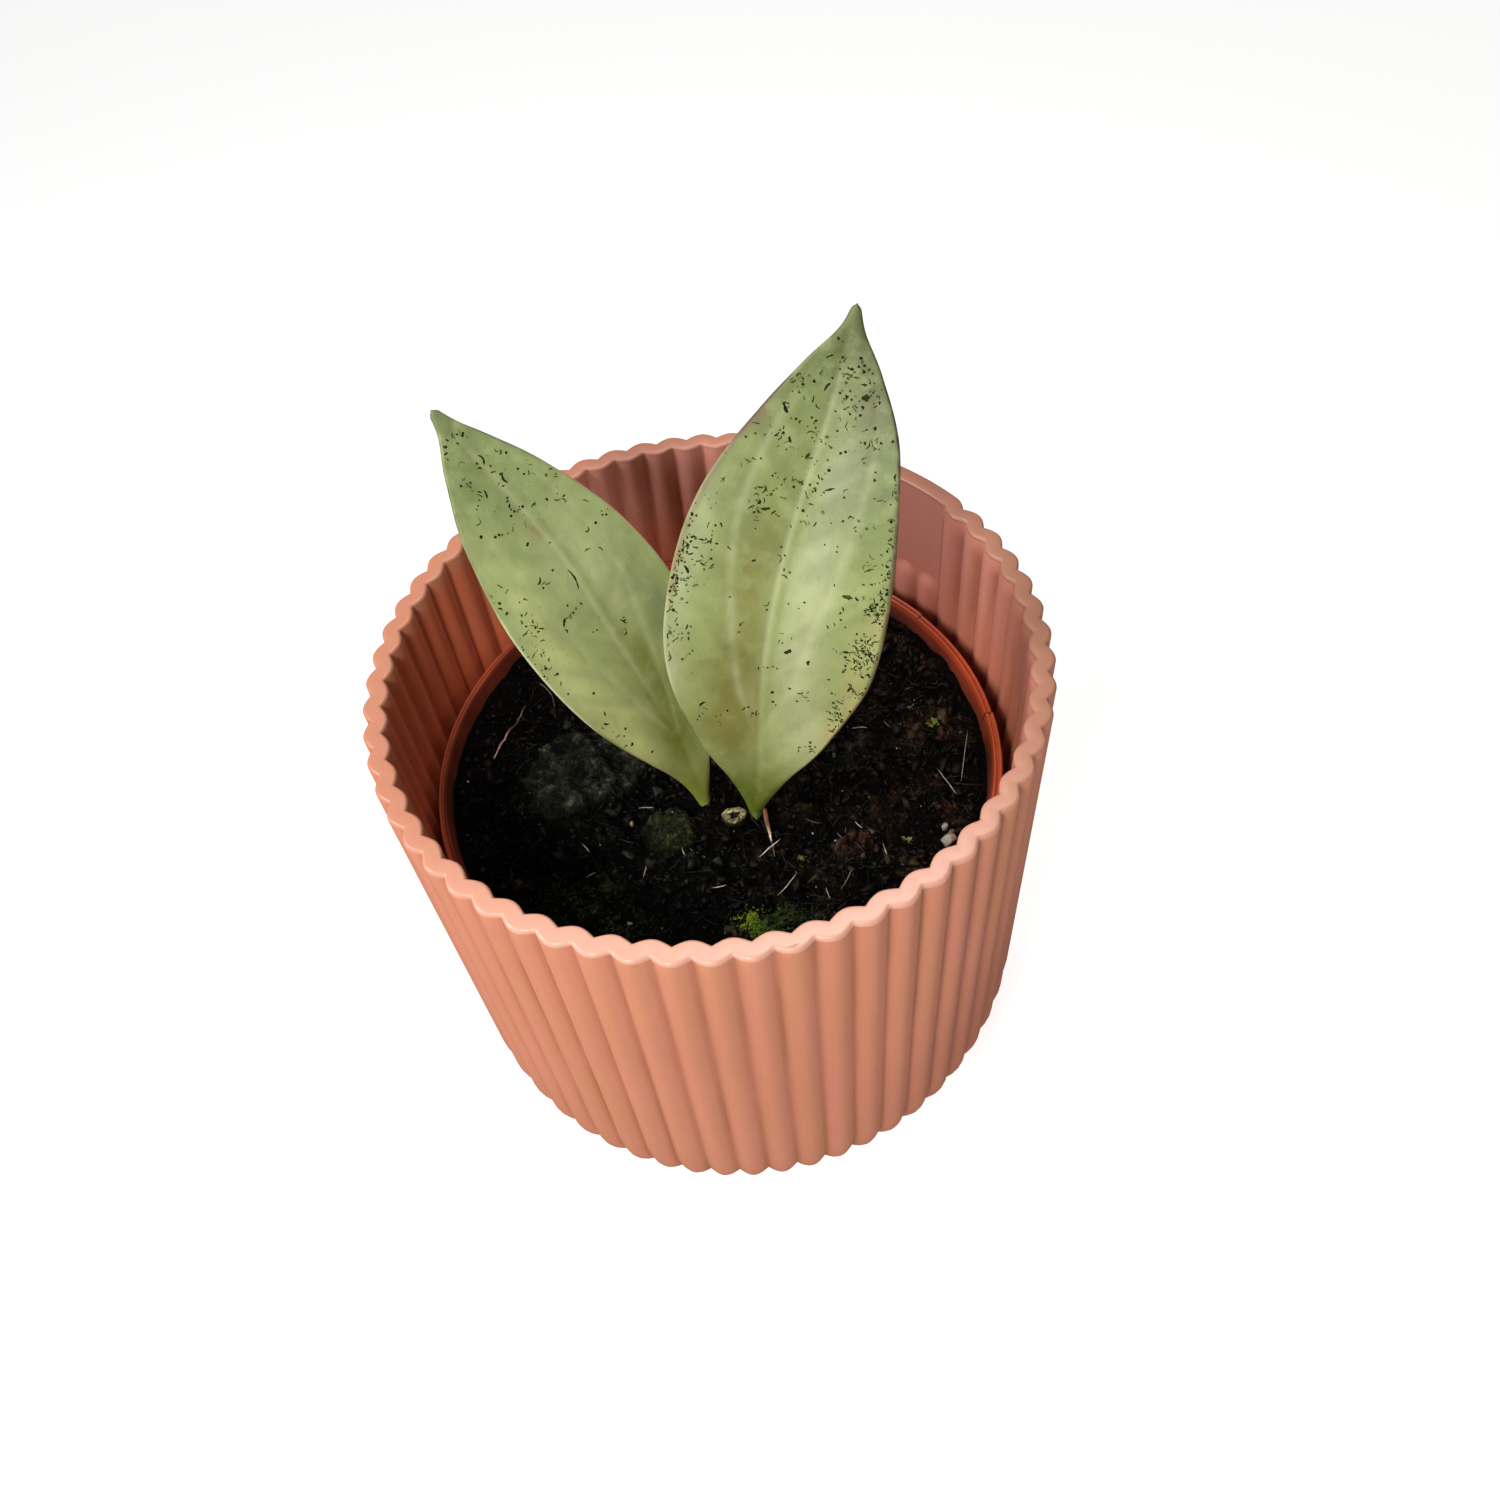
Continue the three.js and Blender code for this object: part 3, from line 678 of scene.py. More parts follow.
def pot_wear(from_crest, x, y, height, outer, inner):
    """Shares of painted shade in the grooves, painted light inside and painted shade inside, for each point
    of the cover pot.

    The grooves take painted shade towards their bottom outside, and at one side of each rib inside at the
    right. The inside takes painted light towards its upper right and on the ribs' domes, and painted shade
    low down and at the left.
    """
    turn_share = from_crest / RIB_PITCH - np.floor(from_crest / RIB_PITCH)
    under_panel = (from_crest > PANEL_FROM) & (from_crest < PANEL_TO)
    ribbed = ~under_panel | (height < PANEL_FOOT - RIB_TOP_ROUND)
    at_right = soft(x, -20, 40)
    # Painted shade towards the bottom of each groove outside, and on one side of each rib inside at the right
    to_groove = soft(1 - np.abs(2 * turn_share - 1), 0.7, 1.0)
    crease = np.maximum(soft(turn_share, 0.92, 1.0), 1 - soft(turn_share, 0.0, 0.6)) * at_right
    crease = crease * soft(POT_HEIGHT - height, 0.8, 1.6)
    # Painted light on the other side of those ribs
    bright_side = 1 + 0.25 * ribbed * soft(turn_share, 0.4, 0.75) * at_right
    # Painted light inside towards the upper right and on the domes' tops
    upper_right = soft(x + 0.5 * y, -45, 20) * (0.4 + 0.6 * soft(height, 96, 122))
    dome = soft(rib_relief(from_crest, height, True), 0.05, 0.6)
    dome = dome * soft(height, PANEL_FOOT - 9, PANEL_FOOT - 2)
    # Painted shade inside low down and at the left
    low_down = (1 - soft(height, 92, 114)) * (1 - 0.85 * soft(x, -30, 30))
    at_left = (1 - soft(x, -58, -24)) * (1 - soft(height, 123, 126.5))
    return {
        "groove": ribbed * (outer * to_groove + 1.35 * inner * crease),
        "lightened": inner * (upper_right * bright_side + under_panel * dome),
        "deep": inner * np.maximum(low_down, 0.75 * at_left),
    }


def cover_pot_shell():
    """The pot's whole skin: underside, outer wall, rounded rim, inner wall and floor, each row ribbed."""
    columns = RIB_COUNT * COLUMNS_PER_RIB
    from_crest = np.arange(columns) * RIB_PITCH / COLUMNS_PER_RIB
    around = np.radians(RIB_START_DEG + from_crest)

    def wall(rim_radius, floor, corner, inside):
        """Radius and height of one side of the wall, its ribs sunk along the outward direction."""
        rows = pot_rows(rim_radius, floor, corner)
        radius, height, out_radius, out_height, share = (column[:, None] for column in rows)
        depth = share * (INNER_RIB_DEPTH if inside else OUTER_RIB_DEPTH)
        depth = depth * rib_relief(from_crest[None], height, inside)
        return radius - depth * out_radius, height - depth * out_height

    outer_radius, outer_height = wall(POT_RIM_RADIUS, 0, POT_CORNER_OUTSIDE, False)
    inner_radius, inner_height = wall(POT_RIM_RADIUS - POT_WALL, POT_FLOOR, POT_CORNER_INSIDE, True)
    bend = np.linspace(0, np.pi / 2, 7)[1:, None]
    flat = np.ones(columns)
    rim_height = (POT_HEIGHT - POT_RIM_ROUND * (1 - np.sin(bend))) * flat
    rim_in = POT_RIM_ROUND * (1 - np.cos(bend))
    radius = np.vstack([
        *(row_radius * flat for row_radius, _ in POT_UNDERSIDE),
        outer_radius, outer_radius[-1] - rim_in, (inner_radius[-1] + rim_in)[::-1], inner_radius[::-1],
        POT_FLOOR_MIDDLE * flat,
    ])
    height = np.vstack([
        *(row_height * flat for _, row_height in POT_UNDERSIDE),
        outer_height, rim_height, rim_height[::-1], inner_height[::-1],
        POT_FLOOR * flat,
    ])
    x, y = radius * np.cos(around), radius * np.sin(around)
    row = np.arange(len(radius))[:, None]
    outer_end = len(POT_UNDERSIDE) + len(outer_radius)
    outer = (row >= len(POT_UNDERSIDE)) & (row < outer_end)
    inner = row >= outer_end + len(bend)
    shades = pot_wear(from_crest[None], x, y, height, outer, inner)
    skins(
        "cover_pot_shell", np.stack([x, y, height], axis=-1)[None], cover_pot_plastic(),
        stands_for=["cover_pot"], shades={shade: values[None] for shade, values in shades.items()},
    )


def round_nursery(radius, turn):
    """x and y at a radius and an angle from the nursery pot's middle."""
    return NURSERY_CENTRE[0] + radius * np.cos(turn), NURSERY_CENTRE[1] + radius * np.sin(turn)


def nursery_inside(height):
    """Radius of the nursery pot's inner wall at a height."""
    top = NURSERY_RIM_RADIUS - NURSERY_RIM_WIDTH
    slope = (top - NURSERY_FOOT_RADIUS + NURSERY_WALL) / (NURSERY_TOP - NURSERY_BOTTOM)
    return top - slope * (NURSERY_TOP - height)


def nursery_profile():
    """Radius and height of each row, from the middle underneath, up outside, over the rim and down inside.

    The rim's face has two fine beads: the size of a cosine, cubed, sinks it beside and between them, and
    a bell rounds off each of its edges.
    """
    collar_foot = NURSERY_TOP - NURSERY_COLLAR
    collar_radius = NURSERY_RIM_RADIUS - (nursery_inside(NURSERY_TOP) - nursery_inside(collar_foot))
    wall_at_collar = nursery_inside(collar_foot) + NURSERY_WALL
    foot = NURSERY_FOOT_RADIUS
    floor = NURSERY_BOTTOM + NURSERY_WALL
    bead = np.linspace(0, 1, 17)
    bead_radius = NURSERY_RIM_RADIUS - NURSERY_RIM_WIDTH * bead
    bead_height = NURSERY_TOP - 0.05 - 0.75 * np.abs(np.cos(2 * np.pi * bead)) ** 3
    bead_height -= 0.9 * (bell(bead, 0.07) + bell(1 - bead, 0.07))
    return np.array([
        (20, NURSERY_BOTTOM), (foot - 3, NURSERY_BOTTOM), (foot - 0.9, NURSERY_BOTTOM + 0.9),
        (foot, NURSERY_BOTTOM + 3), (nursery_inside(40) + NURSERY_WALL, 40),
        (wall_at_collar, collar_foot - 0.3), (wall_at_collar + 0.2, collar_foot),
        (collar_radius - 0.2, collar_foot), (collar_radius, collar_foot + 0.2),
        (NURSERY_RIM_RADIUS - 0.1, NURSERY_TOP - 3), (NURSERY_RIM_RADIUS, NURSERY_TOP - 1.6),
        *zip(bead_radius, bead_height),
        (bead_radius[-1], NURSERY_TOP - 1.8), (nursery_inside(NURSERY_TOP - 4), NURSERY_TOP - 4),
        (nursery_inside(80), 80), (nursery_inside(floor + 3), floor + 3), (foot - 3, floor), (20, floor),
    ])


def nursery_pot_shell():
    """The nursery pot turned round its axis, with a tab of the rim pushed in, and soil smeared and shade
    painted inside.
    """
    profile = nursery_profile()
    even = np.arange(NURSERY_COLUMNS) * 360 / NURSERY_COLUMNS
    at_cuts = np.add.outer([TAB_FROM_DEG, TAB_TO_DEG], np.linspace(-0.5, 0.5, 21)).ravel()
    degrees = np.unique(np.concatenate([even, np.mod(at_cuts, 360)]))
    turn = np.radians(degrees)
    radius, height = profile[:, :1] + 0 * turn, profile[:, 1:] + 0 * turn
    from_start = np.minimum(np.abs(degrees - TAB_FROM_DEG), 360 - np.abs(degrees - TAB_FROM_DEG))
    tab_ends = (TAB_FROM_DEG, TAB_FROM_DEG + TAB_EDGE_DEG, TAB_TO_DEG - TAB_EDGE_DEG, TAB_TO_DEG)
    tab = plateau(degrees, *tab_ends)
    cut = bell(from_start, TAB_CUT_WIDTH_DEG)
    cut = np.maximum(cut, 0.4 * bell(degrees - TAB_TO_DEG, TAB_CUT_WIDTH_DEG))
    near_rim = soft(height, NURSERY_TOP - TAB_REACH, NURSERY_TOP - 1.5)
    radius = radius - TAB_SUNK * tab * near_rim
    height = height - 0.7 * cut * near_rim - 0.15 * tab * near_rim
    smear_and_shade, inner_bead = np.zeros((2, len(profile), 1))
    smear_and_shade[-len(SMEAR_AND_SHADE_ROWS):, 0] = SMEAR_AND_SHADE_ROWS
    inner_bead[-len(INNER_BEAD_ROWS):, 0] = INNER_BEAD_ROWS
    # Painted shade on the inner bead at the left
    smear_and_shade = np.maximum(smear_and_shade, 0.8 * inner_bead * soft(-np.cos(turn), 0.35, 0.8))
    points = np.stack([*round_nursery(radius, turn), height], axis=-1)
    shades = {"redder": tab * near_rim, "cut": cut * near_rim, "smear_and_shade": smear_and_shade}
    skins(
        "nursery_pot_shell", points[None], nursery_plastic(),
        stands_for=["nursery_pot"], shades={shade: values[None] for shade, values in shades.items()},
    )


def mound(x, y, at_x, at_y, spread):
    """A bell round a place, by the distance from it."""
    return bell(np.hypot(x - at_x, y - at_y), spread)


def soil_height(x, y):
    """Height of the solid's soil: a slight rise to the left, a ripple and wide lumps."""
    z = SOIL_LEVEL - SOIL_RISE_TO_LEFT * x
    turn = 2 * np.pi / SOIL_RIPPLE_LENGTH
    z = z + SOIL_RIPPLE * np.sin(turn * (x + y / 2)) * np.cos(turn * (y - x / 3))
    for at_x, at_y, height, spread in SOIL_LUMPS:
        z = z + height * mound(x, y, at_x, at_y, spread)
    return z


def soil_relief(x, y):
    """Clumps of peat: noise folded at zero, so that round lumps meet in creases, down to small crumbs."""
    slant = x + 3 * y / 7
    relief = 0.0
    for number, (size, height) in enumerate(SOIL_CLUMPS):
        relief = relief + height * (np.abs(lattice_noise(slant, y, size, 40 + number)) - 0.33)
    from_middle = np.hypot(x - NURSERY_CENTRE[0], y - NURSERY_CENTRE[1])
    return relief * (1 - 0.65 * soft(from_middle, 50, 57))


def soil_surface(x, y):
    """The soil's top: the solid's height and its clumps, heaps at the leaves' feet, and two round lumps."""
    z = soil_height(x, y) + soil_relief(x, y)
    z = z + CLOD_RISE * clod_share(x, y) + MOSSY_LUMP_RISE * moss_lump_share(x, y)
    for foot in LEAF_FEET:
        z = z + FOOT_HEAP * mound(x, y, *foot, FOOT_HEAP_SPREAD)
    return z


def clod_share(x, y):
    """1 on the big clod left of the stem, a ragged oval turned by 25 degrees, and 0 off it."""
    ragged = 0.14 * lattice_noise(x, y, 5.0, 61) + 0.08 * lattice_noise(x, y, 2.0, 62)
    along = CLOD_WAY[0] * x + CLOD_WAY[1] * y + CLOD_SHIFT[0]
    across = CLOD_WAY[0] * y - CLOD_WAY[1] * x + CLOD_SHIFT[1]
    return 1 - soft(np.hypot(along / CLOD_HALF_LENGTH, across / CLOD_HALF_WIDTH) + ragged, 0.85, 1.05)


def moss_lump_share(x, y):
    """1 on the round mossy lump beside the stem and 0 off it."""
    ragged = 0.12 * lattice_noise(x, y, 2.4, 63)
    across = (x - MOSSY_LUMP_AT[0]) / MOSSY_LUMP_REACH[0]
    along = (y - MOSSY_LUMP_AT[1]) / MOSSY_LUMP_REACH[1]
    return 1 - soft(np.hypot(across, along) + ragged, 0.8, 1.08)


def whole_share(x, y):
    """1 on the clod and on the mossy lump, which hold together, and 0 on the loose peat."""
    return np.maximum(clod_share(x, y), moss_lump_share(x, y))


# Coloured areas of the soil: middle, spread and colour
SOIL_PATCHES = [
    ((-29.0, -33.0), (8.0, 4.5), (50, 60, 32)),
    ((-20.0, -38.0), (6.0, 4.0), (52, 58, 34)),
    ((27.5, -4.0), (4.5, 5.5), (56, 60, 60)),
    ((44.0, -3.0), (8.0, 7.0), (62, 40, 30)),
    ((31.0, -25.0), (9.0, 5.0), (62, 38, 28)),
    ((14.0, -33.0), (6.0, 5.0), (48, 50, 28)),
    ((17.6, -31.5), (3.6, 3.8), (60, 58, 54)),
    ((38.0, 22.0), (8.0, 8.0), (44, 40, 34)),
    ((40.0, -14.0), (8.0, 4.0), (62, 44, 32)),
    ((46.0, -24.0), (4.0, 4.0), (70, 50, 38)),
]
SOIL_PAINTED_SHADOWS = [
    # Middle and spread of the painted shadows, the darkest places
    (-2.8, -24.6, 5.0), (-47.0, -18.0, 8.0), (-47.0, 20.0, 9.0), (27.0, 8.0, 9.0), (-12.0, -34.0, 3.0),
]


def soil_tint(x, y):
    """The soil's colour: painted shade in its creases, at its left and in a few dark places, painted light on
    its lumps' tops, grey green lumps at the left and brown at the right.
    """
    noise = lattice_noise(x, y, 9.0, 71)
    lit_relief = soft(soil_relief(x, y), -0.9, 1.5)
    patch = soft(lattice_noise(x, y, 6.0, 72) + 0.6 * lattice_noise(x, y, 2.4, 73), -0.3, 0.8)
    # Darker at the left: painted shadow of the pot's wall; browner peat at the right
    tint = mixed(paint(PEAT_SHADED_LEFT), PEAT_RIGHT, soft(x + 10 * noise, -18, 16))
    tint = tint * (0.15 + 1.3 * patch)[..., None]
    for middle, spread, colour in SOIL_PATCHES:
        away = np.hypot((x - middle[0]) / spread[0], (y - middle[1]) / spread[1]) + 0.35 * noise
        tint = mixed(tint, colour, (1 - soft(away, 0.4, 1.3)) * (0.45 + 0.55 * patch))
    streaks = lattice_noise(x - 0.8 * y, 0.35 * (0.8 * x + y), 1.6, 74)
    clod_tint = paint(CLOD_GREY) * (0.45 + soft(streaks + 0.5 * noise, -0.5, 0.5))[..., None]
    clod = clod_share(x, y)[..., None]
    tint = tint * (1 - clod) + clod_tint * clod
    tint = mixed(tint, MOSSY_GREY, moss_lump_share(x, y))
    # Painted shadows at the darkest places
    for shadow in SOIL_PAINTED_SHADOWS:
        tint = tint * (1 - 0.8 * mound(x, y, *shadow))[..., None]
    # Painted shade in the creases and painted light on the lumps' tops
    return tint * (0.12 + 1.25 * lit_relief + whole_share(x, y) * 0.35 * (1 - lit_relief))[..., None]


def soil_bed():
    """The plug of soil: flat underneath, the nursery pot's taper at its side, and the rough surface."""
    turn = full_turn(SOIL_COLUMNS)
    side = [(20, SOIL_BOTTOM), (SOIL_FOOT_RADIUS, SOIL_BOTTOM)]
    side += [(nursery_inside(level) - gap, level) for level, gap in SOIL_SIDE]
    top = np.linspace(nursery_inside(SOIL_LEVEL) - 0.05, 0.6, SOIL_TOP_RINGS)
    radius = np.concatenate([[row for row, _ in side], top])[:, None]
    x, y = round_nursery(radius, turn)
    z = soil_surface(x, y)
    z[: len(side)] = np.array([[level] for _, level in side])
    skins(
        "soil_bed", np.stack([x, y, z], axis=-1)[None], damp_peat(), stands_for=["soil"],
        shades={"tint": soil_tint(x, y)[None], "whole": whole_share(x, y)[None]},
    )


def scattered(count, dice, reach=LITTER_REACH):
    """Random places on the soil, evenly spread over its disc."""
    turn = dice.uniform(0, 2 * np.pi, count)
    return round_nursery(reach * np.sqrt(dice.uniform(0, 1, count)), turn)


def on_soil(x, y, lift):
    """Points on the soil's surface, each lifted by that much."""
    return np.stack([x, y, soil_surface(x, y) + lift], axis=-1)


def soil_crumbs():
    """Crumbs of peat half sunk in the soil, in its own colours, and larger flakes towards the right."""
    dice = np.random.default_rng(CRUMB_SEED)
    x, y = scattered(CRUMB_COUNT, dice)
    size = np.clip(dice.lognormal(-0.6, 0.5, len(x)), 0.22, 1.9)
    flake_x, flake_y = scattered(FLAKE_COUNT, dice, 54)
    kept = flake_x + 12 * dice.normal(size=FLAKE_COUNT) > -4
    x, y = np.append(x, flake_x[kept]), np.append(y, flake_y[kept])
    size = np.append(size, dice.uniform(1.0, 2.3, kept.sum())) * (1 - 0.75 * whole_share(x, y))
    rings, poles = lumps(on_soil(x, y, 0.05 * size), size, dice, roughness=0.6, thinnest=0.18)
    # The crumbs take the soil's tint, with its painted shade and light
    shade = dice.lognormal(-0.45, 1.0, (len(x), 1)) * (soil_tint(x, y) + CRUMB_DUST)
    skins(
        "soil_crumbs", rings, crumb_finish("peat crumbs", 0.42, 0.25, 0.16), ends=poles,
        shades={"tint": np.clip(shade, 0.0003, 0.07)[:, None, None]},
    )


GLINTS = [
    # Bright grains with painted glints: place, size and how bright
    (20.4, -26.5, 0.4, 1.0), (16.8, -22.9, 0.22, 0.8), (15.9, -34.9, 0.24, 0.6), (15.4, -36.7, 0.24, 0.7),
    (24.6, -14.4, 0.24, 0.7), (38.4, -4.3, 0.22, 0.75), (40.3, -20.6, 0.26, 0.4), (-27.5, -19.2, 0.3, 0.35),
    (-14.3, -11.5, 0.2, 0.6), (-11.7, -14.9, 0.22, 0.7), (-53.6, 7.0, 0.3, 0.3), (-55.3, 1.9, 0.36, 0.7),
    (-55.5, -11.8, 0.3, 0.2), (-40.1, -11.7, 0.26, 0.5), (-20.1, 0.8, 0.2, 0.3),
]
CHIPS = [
    # Pale chips: place, size and colour
    (44.0, -27.2, 1.7, (160, 152, 142)), (44.7, -28.9, 1.4, (112, 98, 86)),
    (44.1, -30.4, 1.8, (176, 168, 156)), (21.1, -25.7, 0.3, (188, 196, 206)),
    (-22.9, -38.2, 0.6, (150, 154, 150)), (-20.6, -14.6, 0.85, (176, 150, 116)),
]


def soil_grit():
    """Grains with a little gloss, a bright one here and there with its glint painted into its colour, and a
    few pale chips.
    """
    dice = np.random.default_rng(GRIT_SEED)
    x, y = scattered(GRIT_COUNT, dice)
    size = np.clip(dice.lognormal(-1.75, 0.35, GRIT_COUNT), 0.1, 0.35)
    placed = np.array([grain[:3] for grain in GLINTS + CHIPS]).T
    x, y, size = (np.concatenate(both) for both in zip((x, y, size), placed))
    rings, poles = lumps(on_soil(x, y, 0.7 * size), size, dice, roughness=0.35)
    grey = np.clip(dice.lognormal(-2.6, 0.8, GRIT_COUNT), 0.02, 0.4)
    grey = np.append(grey, [bright for *_, bright in GLINTS])
    chip_tints = [paint(colour) for *_, colour in CHIPS]
    tint = np.concatenate([grey[:, None] * np.array([0.95, 1.0, 0.97]), chip_tints])
    skins(
        "soil_grit", rings, crumb_finish("pale grit", 0.25, 0.25, 0.5), ends=poles,
        shades={"tint": tint[:, None, None]},
    )


def laid_paths(x, y, heading, length, points, dice, lift=0.25, bend=0.08):
    """Short paths on the soil: from each place along its heading, bent a little, held up by high spots."""
    share = np.linspace(0, 1, points)
    along = length[:, None] * share
    swing = dice.normal(0, bend, (len(x), 1)) * length[:, None] * np.sin(np.pi * share)
    path_x = x[:, None] + np.cos(heading)[:, None] * along - np.sin(heading)[:, None] * swing
    path_y = y[:, None] + np.sin(heading)[:, None] * along + np.cos(heading)[:, None] * swing
    low = soil_surface(path_x, path_y)
    level = 0.35 * low + 0.65 * low.max(axis=1, keepdims=True)
    return np.stack([path_x, path_y, level + lift], axis=-1)


def peat_fibres():
    """Fine root and peat fibres that lie every way in the soil, dark brown with some paler ones."""
    dice = np.random.default_rng(FIBRE_SEED)
    x, y = scattered(FIBRE_COUNT, dice, 54)
    heading = dice.uniform(0, 2 * np.pi, len(x))
    length = np.clip(dice.lognormal(1.0, 0.45, len(x)), 1.0, 9.0)
    paths = laid_paths(x, y, heading, length, 5, dice, 0.05, 0.05)
    half = np.clip(dice.lognormal(-2.6, 0.4, (len(x), 1)), 0.04, 0.2) * np.array([0.5, 1, 1, 0.9, 0.3])
    right = soft(x, -25, 25)[:, None]
    # Darker towards the left: painted shade
    shade = dice.lognormal(-4.6, 1.0, (len(x), 1)) * (0.3 + 1.1 * right) * np.array([1.15, 0.95, 0.7])
    skins(
        "peat_fibres", tubes(paths, half, half, 4), crumb_finish("peat fibre", 0.4, 0.05, 0.25),
        shades={"tint": np.clip(shade, 0.002, 0.3)[:, None, None]},
    )


STRAWS = [
    # Where it starts and ends, half width, and how pale it is
    ((-31.2, -19.1), (-29.7, -21.6), 0.08, 0.75), ((-31.0, -26.3), (-28.8, -25.5), 0.08, 0.6),
    ((-19.3, -28.4), (-18.0, -24.9), 0.08, 0.7), ((-18.7, -12.1), (-15.5, -12.4), 0.08, 0.8),
    ((7.4, -37.6), (12.1, -32.7), 0.09, 0.95), ((5.0, -28.5), (10.0, -24.4), 0.14, 1.0),
    ((-5.6, -33.7), (-2.5, -33.5), 0.1, 0.85), ((30.8, -27.6), (31.3, -32.4), 0.1, 0.55),
    ((45.7, -11.3), (48.3, -19.0), 0.11, 0.6), ((54.5, -2.7), (49.9, -16.1), 0.09, 0.45),
    ((-10.6, -23.4), (-10.1, -25.6), 0.08, 0.85), ((-9.0, -23.6), (-7.4, -25.2), 0.08, 0.8),
    ((25.5, -21.6), (27.2, -24.0), 0.1, 0.7), ((29.5, 1.6), (33.0, 0.8), 0.08, 0.6),
    ((17.6, -40.4), (17.2, -37.4), 0.1, 0.5), ((20.2, -38.2), (23.4, -33.6), 0.08, 0.35),
]


def straws():
    """The pale straws and bits of dry stem that stand out on the soil, each a tapered bent tube."""
    dice = np.random.default_rng(STRAW_SEED)
    start, end, half, pale = (np.array(column) for column in zip(*STRAWS))
    run = end - start
    heading, length = np.arctan2(run[:, 1], run[:, 0]), np.hypot(run[:, 0], run[:, 1])
    paths = laid_paths(start[:, 0], start[:, 1], heading, length, 8, dice, 0.5, 0.015)
    half = half[:, None] * np.array([0.2, 0.6, 0.85, 1, 1, 0.9, 0.6, 0.15])
    tint = pale[:, None] * np.array([1.0, 0.92, 0.8])
    skins(
        "straws", tubes(paths, half, half, 8), crumb_finish("dry straw", 0.42, 0.03),
        shades={"tint": tint[:, None, None]},
    )


def route(points, count, lift):
    """A smooth path through a few places on the soil, lifted a little above it."""
    station = np.linspace(0, len(points) - 1, count)
    place, _ = catmull_rom(points, station)
    return on_soil(*place.T, lift)


# Places on the soil that the twig, the thin root and the bract lie over
TWIG_LINE = [(-42.5, 23.2), (-44.2, 19.5), (-46.8, 14.2), (-48.4, 11.4), (-50.0, 8.3)]
THIN_ROOT_LINE = [(-38.9, 27.6), (-37.0, 25.4), (-35.9, 22.0), (-35.8, 17.4)]
BRACT_LINE = [(7.6, -16.9), (7.7, -20.0), (7.9, -24.0), (8.1, -28.6)]
TWIG_HALF_WIDTH, THIN_ROOT_HALF_WIDTH = 0.2, 0.12
BRACT_ALONG = [0, 0.1, 0.35, 0.6, 0.72, 1]
BRACT_HALF_WIDTH = [0.32, 0.5, 0.46, 0.28, 0.1, 0.06]


def twigs():
    """A reddish twig near the left rim and a thin curved root behind the left leaf, both with painted light
    along them.
    """
    rings = 24
    paths = np.stack([route(TWIG_LINE, rings, 0.7), route(THIN_ROOT_LINE, rings, 0.8)])
    knots = 1 + 0.35 * np.sin(np.linspace(0, 19, rings)) ** 2
    taper = np.sin(np.linspace(0.25, np.pi - 0.15, rings)) ** 0.4
    half = np.stack([TWIG_HALF_WIDTH * knots * taper, THIN_ROOT_HALF_WIDTH * taper])
    share = np.linspace(0, 1, rings)
    # Painted light along the twig towards its end, and along the root towards its start
    lit = soft(share, 0.3, 0.9) + 0.6 * lattice_noise(12 * share, 0 * share, 1.0, 96)
    lit = np.clip(lit, 0.05, 1)
    root_tint = paint(ROOT_GREY) * (0.3 + lit[::-1])[:, None]
    tint = np.stack([mixed(paint(TWIG_BARK), TWIG_HIGHLIGHT, lit), root_tint])
    skins(
        "twigs", tubes(paths, half, half, 10), crumb_finish("twig bark", 0.6, 0.1),
        shades={"tint": tint[:, :, None]},
    )


def stem_bract():
    """The dry bract in front of the right leaf: a brown tapered strip with a painted highlight where it
    narrows, ending in a hair.
    """
    rings = 28
    line = route(BRACT_LINE, rings, 0.9)
    share = np.linspace(0, 1, rings)
    line[:, 2] += 1.5 * (1 - share) ** 2
    half = np.interp(share, BRACT_ALONG, BRACT_HALF_WIDTH)[None]
    patchy = lattice_noise(14 * share, 0 * share, 1.0, 95)
    # Painted highlight where the bract narrows
    tint = mixed(paint(BRACT_BROWN), BRACT_HIGHLIGHT, bell(share - 0.63, 0.1) + 0.35 * patchy)
    tint = mixed(tint, BRACT_HAIR, soft(share, 0.7, 0.8))
    skins(
        "stem_bract", tubes(line[None], half, 0.32 * half, 12), crumb_finish("dry bract", 0.5, 0.1),
        shades={"tint": tint[None, :, None]},
    )


MOSS_PATCHES = [
    # Middle of the patch, its spread, how many blades, and the blades' colour and length
    ((0.6, -42.8), (1.9, 2.0), 1200, (128, 152, 30), 0.42),
    ((3.6, -44.4), (3.4, 2.4), 900, (78, 106, 24), 0.42),
    ((10.0, -43.0), (5.4, 2.6), 640, (46, 64, 24), 0.5),
    ((-32.0, -31.0), (8.0, 4.0), 300, (36, 48, 20), 0.45),
    ((-24.0, -40.0), (4.0, 2.4), 160, (48, 62, 22), 0.45),
    ((42.0, -3.0), (4.0, 4.0), 160, (30, 40, 17), 0.5),
    ((24.0, -30.0), (6.0, 5.0), 120, (38, 40, 18), 0.45),
    ((-12.6, -18.6), (4.4, 4.2), 300, (44, 50, 32), 0.35),
    ((36.2, -27.1), (0.75, 0.65), 110, (146, 150, 84), 0.38),
    ((13.6, -28.6), (0.6, 0.6), 90, (124, 132, 66), 0.36),
    ((47.4, 0.3), (0.8, 0.65), 120, (130, 154, 46), 0.44),
    ((40.1, 0.8), (0.75, 0.65), 100, (126, 142, 78), 0.42),
    ((43.6, 6.6), (0.9, 0.7), 70, (150, 158, 116), 0.4),
    ((30.0, -17.0), (0.3, 0.3), 16, (96, 108, 52), 0.3),
]


